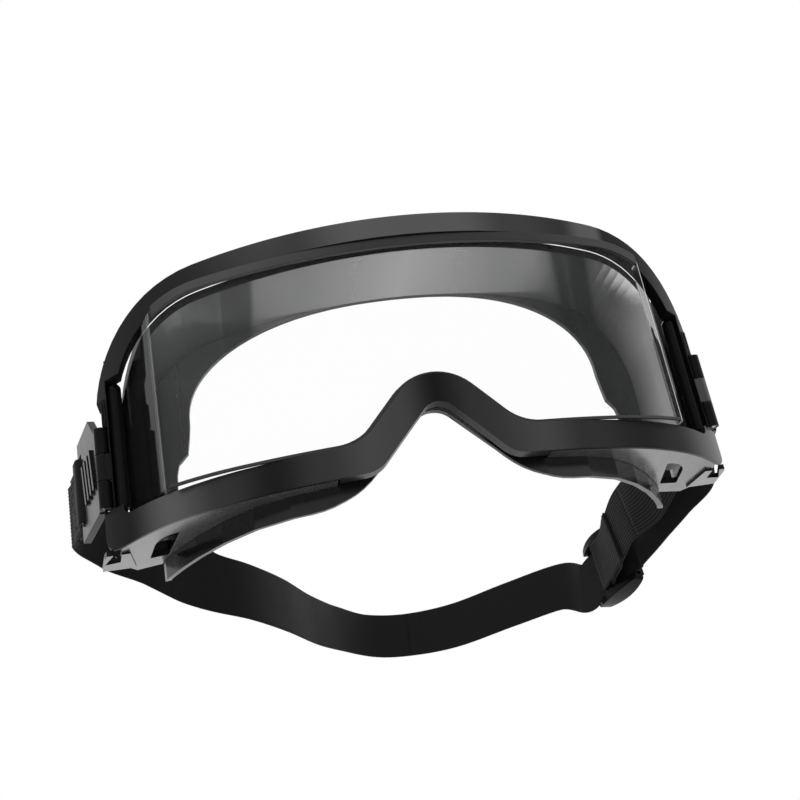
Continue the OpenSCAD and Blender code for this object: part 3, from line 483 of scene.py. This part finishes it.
def webbingMaterial(look, strap):
    # UV: u along the strap and v across it in metres, v shifted by 1 on a ribbed face
    material, tree, shader = newMaterial("elasticWebbing")
    shader.inputs["Sheen Weight"].default_value = look["sheen"]
    shader.inputs["Sheen Roughness"].default_value = look["sheenRough"]
    shader.inputs["Specular IOR Level"].default_value = look["specular"]
    place = newNode(tree, "ShaderNodeUVMap", -1500, 0, uv_map="strapMap").outputs["UV"]
    v = splitNode(tree, -1300, 0, place)[1]
    ribbed = mathNode(tree, -1100, 200, "GREATER_THAN", v, 0.5)
    across = mathNode(tree, -1100, 50, "SUBTRACT", v, ribbed)
    turns = mathNode(tree, -900, 50, "MULTIPLY", across, 2 * math.pi * strap["ribs"] / strap["width"])
    wave = mathNode(tree, -700, 50, "MULTIPLY_ADD", mathNode(tree, -800, 50, "COSINE", turns), 0.5, 0.5)
    crest = mathNode(tree, -500, 50, "MULTIPLY", mathNode(tree, -600, 50, "POWER", wave, 3), ribbed)
    picks = newNode(tree, "ShaderNodeTexWave", -900, -250, wave_type="BANDS", bands_direction="X",
                    Scale=look["pickSize"], Distortion=2.5, Detail=2)
    fibres = newNode(tree, "ShaderNodeTexNoise", -900, -600, Scale=look["fibreSize"], Detail=4)
    join(tree, place, picks.inputs["Vector"])
    join(tree, place, fibres.inputs["Vector"])
    weave = mixNode(tree, -600, -350, look["fibreShare"], picks.outputs["Fac"], fibres.outputs["Fac"],
                    "FLOAT")
    colour = mixNode(tree, -300, 300, weave, paint(look["dark"]), paint(look["light"]))
    bump = newNode(tree, "ShaderNodeBump", -300, -250, Strength=look["bump"], Distance=look["bumpDepth"])
    join(tree, weave, bump.inputs["Height"])
    join(tree, mixNode(tree, -100, 300, crest, colour, paint(look["crest"])), shader.inputs["Base Color"])
    join(tree, rangeNode(tree, -300, 0, weave, 0, 1, look["rough"] - look["roughSpread"],
                         look["rough"] + look["roughSpread"]), shader.inputs["Roughness"])
    join(tree, bump.outputs["Normal"], shader.inputs["Normal"])
    return material


elasticWebbing = webbingMaterial(webLook, strapLook)

threadLook = {
    "dark": (0.012, 0.012, 0.013), "light": (0.045, 0.045, 0.047), "twist": 2400,
    "rough": 0.6, "specular": 0.3, "bump": 0.4, "bumpDepth": 0.03 * mm,
}


def threadMaterial(look):
    material, tree, shader = newMaterial("sewingThread")
    shader.inputs["Specular IOR Level"].default_value = look["specular"]
    shader.inputs["Roughness"].default_value = look["rough"]
    twist = newNode(tree, "ShaderNodeTexWave", -650, 0, bands_direction="DIAGONAL",
                    Scale=look["twist"], Distortion=1)
    bump = newNode(tree, "ShaderNodeBump", -350, -150, Strength=look["bump"], Distance=look["bumpDepth"])
    join(tree, coordinate(tree, -900, 0, "Object"), twist.inputs["Vector"])
    join(tree, twist.outputs["Fac"], bump.inputs["Height"])
    colour = mixNode(tree, -350, 150, twist.outputs["Fac"], paint(look["dark"]), paint(look["light"]))
    join(tree, colour, shader.inputs["Base Color"])
    join(tree, bump.outputs["Normal"], shader.inputs["Normal"])
    return material


sewingThread = threadMaterial(threadLook)
print("materials made")

# CAD nodes and their finishes
finishes = {
    "front_frame": satinBlack,
    "lens": clearLens,
    "upper_gasket": gasketGrey,
    "lower_gasket": gasketGrey,
    "body": bodyBlack,
    "face_seal": sealBlack,
    "left_base_plate": plateBlack,
    "right_base_plate": plateBlack,
    "left_rod": glossBlack,
    "right_rod": glossBlack,
    "left_hinge_pin": pinSteel,
    "right_hinge_pin": pinSteel,
    "left_strap_clip": glossBlack,
    "right_strap_clip": glossBlack,
    "slide_buckle": glossBlack,
}
for nodeName, finish in finishes.items():
    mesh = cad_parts[nodeName].data
    mesh.materials.clear()
    mesh.materials.append(finish)
print("finishes on the CAD nodes")

# the strap clip, in mm: u runs back from the hinge pin and v outwards; layer is half a strap's thickness
clipLook = {"pinX": 84.6, "angle": 17, "strapZ": -6.45, "inset": 0.6, "thick": 2, "gap": 0.2, "layer": 0.6}
wingAngle = math.radians(clipLook["angle"])
wingDir = Vector((math.sin(wingAngle), math.cos(wingAngle), 0))
wingSide = Vector((math.cos(wingAngle), -math.sin(wingAngle), 0))
outerV = clipLook["thick"] + clipLook["gap"] + clipLook["layer"]
innerV = -clipLook["gap"] - clipLook["layer"]
clipMiddle = clipLook["thick"] / 2


def wingPoint(u, v):
    start = Vector((clipLook["pinX"], 0, clipLook["strapZ"]))
    return tuple(start + u * wingDir + (v - clipLook["inset"]) * wingSide)


def mirrored(p):
    return (-p[0], p[1], p[2])


def smoothRoute(points, between=16):
    # points are (x, y, z, lean) in mm; the result is evenly spaced in metres, with the same lean
    filled = []
    ends = [Vector(p[:3]) for p in points]
    around = [2 * ends[0] - ends[1]] + ends + [2 * ends[-1] - ends[-2]]
    for i in range(len(points) - 1):
        a, b, c, d = around[i:i + 4]
        for j in range(between):
            t = j / between
            place = 0.5 * (2 * b + (c - a) * t + (2 * a - 5 * b + 4 * c - d) * t * t
                           + (3 * b - a - 3 * c + d) * t ** 3)
            lean = points[i][3] + (points[i + 1][3] - points[i][3]) * (3 * t * t - 2 * t ** 3)
            filled.append((place, lean))
    filled.append((ends[-1], points[-1][3]))
    lengths = [0.0]
    for i in range(1, len(filled)):
        lengths.append(lengths[-1] + (filled[i][0] - filled[i - 1][0]).length)
    steps = max(2, round(lengths[-1] * mm / strapLook["step"]))
    route = []
    k = 0
    for s in range(steps + 1):
        want = lengths[-1] * s / steps
        while k < len(lengths) - 2 and lengths[k + 1] < want:
            k += 1
        part = (want - lengths[k]) / max(lengths[k + 1] - lengths[k], 1e-9)
        place = filled[k][0].lerp(filled[k + 1][0], part)
        lean = filled[k][1] + (filled[k + 1][1] - filled[k][1]) * part
        route.append((place * mm, lean))
    return route


def runAt(places, i):
    return (places[min(i + 1, len(places) - 1)] - places[max(i - 1, 0)]).normalized()


def leanFrames(route):
    # place, outward and upward at each point of a leaning route
    places = [place for place, lean in route]
    frames = []
    for i, (place, lean) in enumerate(route):
        run = runAt(places, i)
        side = run.cross(upright).normalized()
        rise = side.cross(run)
        turn = math.radians(lean)
        outward = side * math.cos(turn) - rise * math.sin(turn)
        frames.append((place, outward, rise * math.cos(turn) + side * math.sin(turn)))
    return frames


def flatFrames(places, up):
    # a route that bends in the plane square to up
    return [(place, runAt(places, i).cross(up).normalized(), up) for i, place in enumerate(places)]


def ribProfile(look, ribbedFaces):
    # closed loop of (across, out, ribbed), with ribs on the faces named by 1 and -1
    half = look["width"] / 2
    thick = look["thick"] / 2
    samples = look["ribs"] * look["ribSteps"]
    loop = []
    for face in (1, -1):
        for k in range(samples + 1):
            w = -1 + 2 * k / samples
            edge = max(0.0, (abs(w) - (1 - look["edgeShare"])) / look["edgeShare"])
            rib = 0
            if face in ribbedFaces:
                rib = look["ribDepth"] * (0.5 - 0.5 * math.cos(math.pi * look["ribs"] * w))
            out = thick * math.sqrt(max(0.0, 1 - look["edgeFall"] * edge * edge)) - rib * (1 - edge)
            loop.append((face * w * half, face * out, face in ribbedFaces))
    return loop


def addPiece(name, mesh):
    piece = bpy.data.objects.new(name, mesh)
    bpy.context.scene.collection.objects.link(piece)
    return piece


def finishMesh(name, bm, material):
    # closes a bmesh into a piece with its faces outward
    bmesh.ops.recalc_face_normals(bm, faces=bm.faces)
    mesh = bpy.data.meshes.new(name)
    bm.to_mesh(mesh)
    bm.free()
    mesh.materials.append(material)
    return addPiece(name, mesh)


def sweepStrap(name, frames, profile, material):
    bm = bmesh.new()
    uvLayer = bm.loops.layers.uv.new("strapMap")
    travelled = [0.0]
    for i in range(1, len(frames)):
        travelled.append(travelled[-1] + (frames[i][0] - frames[i - 1][0]).length)
    rings = [[bm.verts.new(place + upward * w + outward * o) for w, o, ribbed in profile]
             for place, outward, upward in frames]
    count = len(profile)
    for i in range(len(rings) - 1):
        for k in range(count):
            n = (k + 1) % count
            quad = bm.faces.new((rings[i][k], rings[i][n], rings[i + 1][n], rings[i + 1][k]))
            quad.smooth = True
            shift = 1 if profile[k][2] else 0
            ends = [(i, k), (i, n), (i + 1, n), (i + 1, k)]
            for corner, (ring, spot) in zip(quad.loops, ends):
                corner[uvLayer].uv = (travelled[ring], profile[spot][0] + shift)
    bm.faces.new(list(reversed(rings[0])))
    bm.faces.new(rings[-1])
    return finishMesh(name, bm, material)


# the slide buckle: its place, the strap's run through it and its lean in degrees
buckleLook = {"place": (88.5, 121, -32.5), "run": (-0.32, 0.92, -0.215), "lean": 4}
buckleAt = Vector(buckleLook["place"])
buckleRun = Vector(buckleLook["run"]).normalized()
buckleEnds = [(buckleAt, buckleLook["lean"]), (buckleAt + buckleRun, buckleLook["lean"])]
buckleOut, buckleUp = leanFrames(buckleEnds)[0][1:]


def atBuckle(u, out=0.0):
    # a point in mm, u along the strap and out from its middle
    return buckleAt + u * buckleRun + out * buckleOut


def throughBuckle(u, out=0.0):
    return (*atBuckle(u, out), buckleLook["lean"])


headRoute = [
    (*wingPoint(31.25, outerV), 0), (*wingPoint(35.7, outerV), 0), (*wingPoint(39.7, outerV), -3),
    (101.5, 47, -11, -13), (102.5, 58, -16, -20), (98.5, 71, -20, -16), (95, 86, -25, -6),
    throughBuckle(-18), throughBuckle(-14), throughBuckle(2), throughBuckle(12), throughBuckle(20),
    (77, 154, -32, 8), (58, 168, -33.5, 8), (36, 183, -36, 9), (17, 192, -35.5, 12), (0.5, 189, -34, 9),
    (-13.5, 172, -32, 4), (-26, 142, -32, 1), (-38, 104, -32, 0), (-50, 80, -30.5, 1), (-63.5, 71, -26.5, 3),
    (-78, 73, -16.5, 2), (-91.5, 69, -10.5, 1), (-98.5, 59, -7.5, 0),
    (*mirrored(wingPoint(53.5, clipMiddle)), 0), (*mirrored(wingPoint(49.5, clipMiddle)), 0),
    (*mirrored(wingPoint(45.05, clipMiddle)), 0),
]
loopRoute = [
    (*wingPoint(31.25, innerV), 0), (*wingPoint(35.7, innerV), 0), (*wingPoint(39.7, innerV), -3),
    (92, 46, -10, -13), (89.5, 58, -15.5, -23), (87.5, 71, -20.5, -21), (84.5, 84, -22.5, -4),
    (84, 97, -26.5, -4), (*atBuckle(-16, -9.2), -2), (*atBuckle(-10, -6.7), 1),
    throughBuckle(-4, -3.6), throughBuckle(-0.8, -2.0), throughBuckle(1.2, -1.85),
]
# the turn round the buckle's middle bar, and the flap as (along, out, lean) back from it
hemLook = {
    "turnAt": 1.2, "barMiddle": -3.5, "turnRadius": 1.65, "turnSteps": 10,
    "flap": [(0.8, -5.15, -4), (-1.5, -5.45, -4), (-4, -6.15, -4), (-7, -7.1, -2.5), (-10, -8.2, -1),
             (-14, -9.95, 1), (-18, -11.8, 3), (-22.8, -14, 4)],
}
strapCuts = {"headX": 17, "loopY": 80}

headProfile = ribProfile(strapLook, (1,))
loopProfile = ribProfile(strapLook, (1, -1))
headFrames = leanFrames(smoothRoute(headRoute))
middle = next(i for i, (place, out, up) in enumerate(headFrames) if place.x < strapCuts["headX"] * mm)
headRight = sweepStrap("headStrapRight", headFrames[:middle + 1], headProfile, elasticWebbing)
headLeft = sweepStrap("headStrapLeft", headFrames[middle:], headProfile, elasticWebbing)
loopFrames = leanFrames(smoothRoute(loopRoute))
cut = next(i for i, (place, out, up) in enumerate(loopFrames) if place.y > strapCuts["loopY"] * mm)
loopFront = sweepStrap("loopStrapFront", loopFrames[:cut + 1], loopProfile, elasticWebbing)


def hemFrames(last, look):
    # from the last point of the strap round the buckle's middle bar and back as a sewn flap
    turn = []
    for i in range(1, look["turnSteps"]):
        a = math.pi * i / look["turnSteps"]
        turn.append(atBuckle(look["turnAt"] + look["turnRadius"] * math.sin(a),
                             look["barMiddle"] + look["turnRadius"] * math.cos(a)) * mm)
    back = leanFrames(smoothRoute([(*atBuckle(u, out), lean) for u, out, lean in look["flap"]]))
    return [(last[0], last[1], buckleUp)] + flatFrames(turn, buckleUp) + back


hemRoute = hemFrames(loopFrames[-1], hemLook)
rearFrames = loopFrames[cut:-1] + hemRoute
loopRear = sweepStrap("loopStrapRear", rearFrames, loopProfile, elasticWebbing)
print("straps swept")

# the strap round the clip's rear bar, in mm along the clip
clipFoldLook = {"start": 26.6, "end": 31.2, "bulge": 1.4, "inset": 1.2, "steps": 8}


def foldFrames(look):
    # a plan route from the outer layer to the inner one
    bar = look["start"] + look["inset"]
    points = [wingPoint(look["end"], outerV), wingPoint(bar, outerV)]
    centreV = (outerV + innerV) / 2
    radius = (outerV - innerV) / 2
    for i in range(1, look["steps"]):
        a = math.pi * i / look["steps"]
        points.append(wingPoint(bar - look["bulge"] * math.sin(a), centreV + radius * math.cos(a)))
    points += [wingPoint(bar, innerV), wingPoint(look["end"], innerV)]
    return flatFrames([Vector(p) * mm for p in points], upright)


def mirrorPiece(piece):
    for vertex in piece.data.vertices:
        vertex.co.x = -vertex.co.x
    piece.data.flip_normals()
    return piece


clipFold = foldFrames(clipFoldLook)
rightFold = sweepStrap("rightStrapFold", clipFold, headProfile, elasticWebbing)
leftFold = mirrorPiece(sweepStrap("leftStrapFold", clipFold, headProfile, elasticWebbing))

# the two sewn layers behind the left clip, in mm along and across it
stackLook = {"places": (31.0, 34.5, 38, 41.5), "outerEnd": 45, "innerEnd": 44.4, "layer": 0.58}


def stackLayer(name, v, end):
    places = [Vector(wingPoint(u, v)) * mm for u in (*stackLook["places"], end)]
    return mirrorPiece(sweepStrap(name, flatFrames(places, upright), headProfile, elasticWebbing))


leftStack = stackLayer("leftStrapStack", clipMiddle + stackLook["layer"], stackLook["outerEnd"])
leftStackInner = stackLayer("leftStrapStackInner", clipMiddle - stackLook["layer"], stackLook["innerEnd"])

# stitches: boxAlong and boxAcross are half sizes of the sewn box, hemShare is the seam's share of the width
stitchLook = {
    "length": 1.7 * mm, "pitch": 2.3 * mm, "thick": 0.32 * mm, "segments": 10, "rings": 8,
    "boxAt": 38.3, "boxAlong": 5 * mm, "boxAcross": 7 * mm, "boxLift": 0.04 * mm,
    "hemShare": 0.94, "hemSteps": 12, "hemSink": 0.02 * mm,
}


def makeStitchGroup(look):
    # lays stitches along a line of edges
    group = bpy.data.node_groups.new("stitchRow", "GeometryNodeTree")
    face = group.interface
    face.new_socket("Geometry", in_out="INPUT", socket_type="NodeSocketGeometry")
    for label in ("Length", "Pitch", "Thickness"):
        face.new_socket(label, in_out="INPUT", socket_type="NodeSocketFloat")
    face.new_socket("Thread", in_out="INPUT", socket_type="NodeSocketMaterial")
    face.new_socket("Geometry", in_out="OUTPUT", socket_type="NodeSocketGeometry")
    start = newNode(group, "NodeGroupInput", -900, 0)
    end = newNode(group, "NodeGroupOutput", 900, 0)
    line = newNode(group, "GeometryNodeMeshToCurve", -700, 0)
    even = newNode(group, "GeometryNodeCurveToPoints", -500, 0, mode="LENGTH")
    stitch = newNode(group, "GeometryNodeMeshUVSphere", -500, -300,
                     Segments=look["segments"], Rings=look["rings"], Radius=0.5)
    size = newNode(group, "ShaderNodeCombineXYZ", -300, -300)
    spread = newNode(group, "GeometryNodeInstanceOnPoints", -100, 0)
    turn = newNode(group, "FunctionNodeAlignRotationToVector", -300, -100, axis="X")
    real = newNode(group, "GeometryNodeRealizeInstances", 100, 0)
    shade = newNode(group, "GeometryNodeSetShadeSmooth", 300, 0)
    cover = newNode(group, "GeometryNodeSetMaterial", 500, 0)
    for source, output, target, socket in (
            (start, "Geometry", line, "Mesh"), (line, "Curve", even, "Curve"), (start, "Pitch", even, "Length"),
            (even, "Points", spread, "Points"), (even, "Tangent", turn, "Vector"),
            (turn, "Rotation", spread, "Rotation"), (start, "Length", size, "X"),
            (start, "Thickness", size, "Y"), (start, "Thickness", size, "Z"),
            (stitch, "Mesh", spread, "Instance"), (size, "Vector", spread, "Scale"),
            (spread, "Instances", real, "Geometry"), (real, "Geometry", shade, "Geometry"),
            (shade, "Geometry", cover, "Geometry"), (start, "Thread", cover, "Material"),
            (cover, "Geometry", end, "Geometry")):
        join(group, source.outputs[output], target.inputs[socket])
    return group


stitchGroup = makeStitchGroup(stitchLook)


def stitchLines(name, lines, look):
    # lines is a list of point lists in metres
    places, edges = [], []
    for line in lines:
        edges += [(len(places) + i, len(places) + i + 1) for i in range(len(line) - 1)]
        places += [tuple(p) for p in line]
    path = bpy.data.meshes.new(name + "Path")
    path.from_pydata(places, edges, [])
    piece = addPiece(name, path)
    modifier = piece.modifiers.new("stitches", "NODES")
    modifier.node_group = stitchGroup
    sockets = {item.name: item.identifier for item in stitchGroup.interface.items_tree
               if item.in_out == "INPUT"}
    for label, value in (("Length", look["length"]), ("Pitch", look["pitch"]),
                         ("Thickness", look["thick"]), ("Thread", sewingThread)):
        modifier[sockets[label]] = value
    bpy.context.view_layer.update()
    made = piece.evaluated_get(bpy.context.evaluated_depsgraph_get())
    piece.data = bpy.data.meshes.new_from_object(made)
    piece.modifiers.clear()
    return piece


def sewnBox(frameAt, look):
    # a box with one diagonal, on the face of a strap
    place, outward, upward = frameAt
    run = upward.cross(outward)
    corners = [(-1, -1), (1, -1), (1, 1), (-1, 1), (-1, -1), (1, 1)]
    middle = place + outward * look["boxLift"]
    return [middle + run * (a * look["boxAlong"]) + upward * (b * look["boxAcross"]) for a, b in corners]


stackFace = Vector(mirrored(wingPoint(stitchLook["boxAt"], clipMiddle + 2 * stackLook["layer"]))) * mm
stackOut = Vector(mirrored(wingSide))
leftSeam = stitchLines("leftStitches", [sewnBox((stackFace, stackOut, upright), stitchLook)], stitchLook)
hemPlace, hemOut, hemUp = hemRoute[-3]
hemStart = hemPlace + hemOut * (strapLook["thick"] / 2 - stitchLook["hemSink"])
hemWidth = strapLook["width"] * stitchLook["hemShare"]
hemLine = [hemStart + hemUp * (hemWidth * (k / stitchLook["hemSteps"] - 0.5))
           for k in range(stitchLook["hemSteps"] + 1)]
hemSeam = stitchLines("hemStitches", [hemLine], stitchLook)

# loose ends of thread at the hem: how far each reaches and how it bends, in mm up, along and out
tuftLook = {
    "ends": [((-2.2, 0, 0), (0, 0.8, 0)), ((-1.6, 0.8, 0), (0, -0.9, 0)), ((-1.2, -0.9, 0), (0, 0, 0.8))],
    "below": 0.4, "sides": 6, "steps": 5, "radius": 0.4 * stitchLook["thick"], "taper": 0.5, "flat": 0.3,
}


def threadTuft(name, place, ends, look):
    # thin bent tubes from one place; ends are pairs of vectors in metres
    bm = bmesh.new()
    sides, steps = look["sides"], look["steps"]
    angles = [2 * math.pi * n / sides for n in range(sides)]
    section = [Vector((math.cos(a), look["flat"] * math.sin(a), math.sin(a))) for a in angles]
    for reach, bend in ends:
        rings = []
        for i in range(steps + 1):
            t = i / steps
            centre = place + reach * t + bend * t * t
            radius = look["radius"] * (1 - look["taper"] * t)
            rings.append([bm.verts.new(centre + radius * corner) for corner in section])
        for i in range(steps):
            for n in range(sides):
                m = (n + 1) % sides
                quad = bm.faces.new((rings[i][n], rings[i][m], rings[i + 1][m], rings[i + 1][n]))
                quad.smooth = True
        bm.faces.new(list(reversed(rings[0])))
        bm.faces.new(rings[-1])
    return finishMesh(name, bm, sewingThread)


def hemVector(up, along, out):
    return (hemUp * up + buckleRun * along + hemOut * out) * mm


tuft = threadTuft("hemTuft", hemLine[0] + hemVector(-tuftLook["below"], 0, 0),
                  [(hemVector(*reach), hemVector(*bend)) for reach, bend in tuftLook["ends"]], tuftLook)
print("stitches laid")

for piece, body, nodes in (
        (rightFold, "right_clip", ["right_strap_fold"]),
        (leftFold, "left_clip", ["left_strap_fold"]),
        (leftSeam, "left_clip", ["left_stitching"]),
        (leftStack, "left_clip", []),
        (leftStackInner, "left_clip", [])):
    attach(piece, body)
    if nodes:
        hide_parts(*nodes)
rearBlend = ((0.0875, 0.118, -0.0325), (0.0845, 0.084, -0.0235))
for piece, first, second, start, end in (
        (headRight, "right_clip", "goggles", (0.0965, 0.036, -0.0065), (0.0985, 0.071, -0.020)),
        (headLeft, "left_clip", "goggles", (-0.1005, 0.050, -0.0065), (-0.070, 0.072, -0.022)),
        (loopFront, "right_clip", "goggles", (0.093, 0.036, -0.0065), (0.0865, 0.076, -0.022)),
        (loopRear, "buckle", "goggles", *rearBlend),
        (hemSeam, "buckle", "goggles", *rearBlend),
        (tuft, "buckle", "goggles", *rearBlend)):
    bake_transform(piece)
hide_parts("head_strap")
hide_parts("head_strap")
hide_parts("loop_strap")
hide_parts("loop_strap", "buckle_fold")
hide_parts("buckle_stitching")


def routeLength(frames):
    return sum((frames[i][0] - frames[i - 1][0]).length for i in range(1, len(frames)))


for piece, frames in ((headRight, headFrames[:middle + 1]), (headLeft, headFrames[middle:]),
                      (loopFront, loopFrames[:cut + 1]), (loopRear, rearFrames)):
    print(piece.name, "is", round(routeLength(frames) / mm, 1), "mm long")

# floor, backdrop and light; a lamp is its place, size and power
studio = {
    "floorHeight": -0.22, "floorSize": 1.1, "floorGrey": 0.92, "floorRough": 0.9, "floorSpecular": 0.1,
    "skyShown": 1.0, "skyLight": 0.5, "lampTarget": (0, 0.03, 0),
    "lamps": {
        "keyLamp": ((-0.5, -0.7, 0.9), 0.8, 5),
        "fillLamp": ((0.8, -0.3, 0.3), 0.6, 0.6),
        "backLamp": ((0.2, 0.9, 0.8), 0.6, 3),
    },
}


def makeFloor(look):
    half = look["floorSize"] / 2
    corners = [(x * half, y * half, look["floorHeight"]) for x, y in ((-1, -1), (1, -1), (1, 1), (-1, 1))]
    mesh = bpy.data.meshes.new("floor")
    mesh.from_pydata(corners, [], [(0, 1, 2, 3)])
    floor = addPiece("floor", mesh)
    material, tree, shader = newMaterial("paleFloor")
    shader.inputs["Base Color"].default_value = paint(look["floorGrey"])
    shader.inputs["Roughness"].default_value = look["floorRough"]
    shader.inputs["Specular IOR Level"].default_value = look["floorSpecular"]
    mesh.materials.append(material)


def makeWorld(look):
    # white where it is seen or mirrored, and weaker where it lights the object
    world = bpy.data.worlds.new("studio")
    bpy.context.scene.world = world
    world.use_nodes = True
    tree = world.node_tree
    shade = tree.nodes["Background"]
    path = newNode(tree, "ShaderNodeLightPath", -900, 0)
    first = mathNode(tree, -650, 0, "MAXIMUM", path.outputs["Is Camera Ray"], path.outputs["Is Glossy Ray"])
    second = mathNode(tree, -450, 0, "MAXIMUM", first, path.outputs["Is Transmission Ray"])
    level = rangeNode(tree, -250, 0, second, 0, 1, look["skyLight"], look["skyShown"])
    shade.inputs["Color"].default_value = paint(1)
    join(tree, level, shade.inputs["Strength"])


def makeLamp(name, place, target, size, power):
    lamp = bpy.data.lights.new(name, "AREA")
    lamp.shape = "DISK"
    lamp.size = size
    lamp.energy = power
    piece = addPiece(name, lamp)
    piece.location = place
    piece.rotation_euler = (Vector(target) - Vector(place)).to_track_quat("-Z", "Y").to_euler()


makeFloor(studio)
makeWorld(studio)
for lampName, (place, size, power) in studio["lamps"].items():
    makeLamp(lampName, place, studio["lampTarget"], size, power)
bpy.context.scene.view_settings.view_transform = "Standard"
print("studio lit")
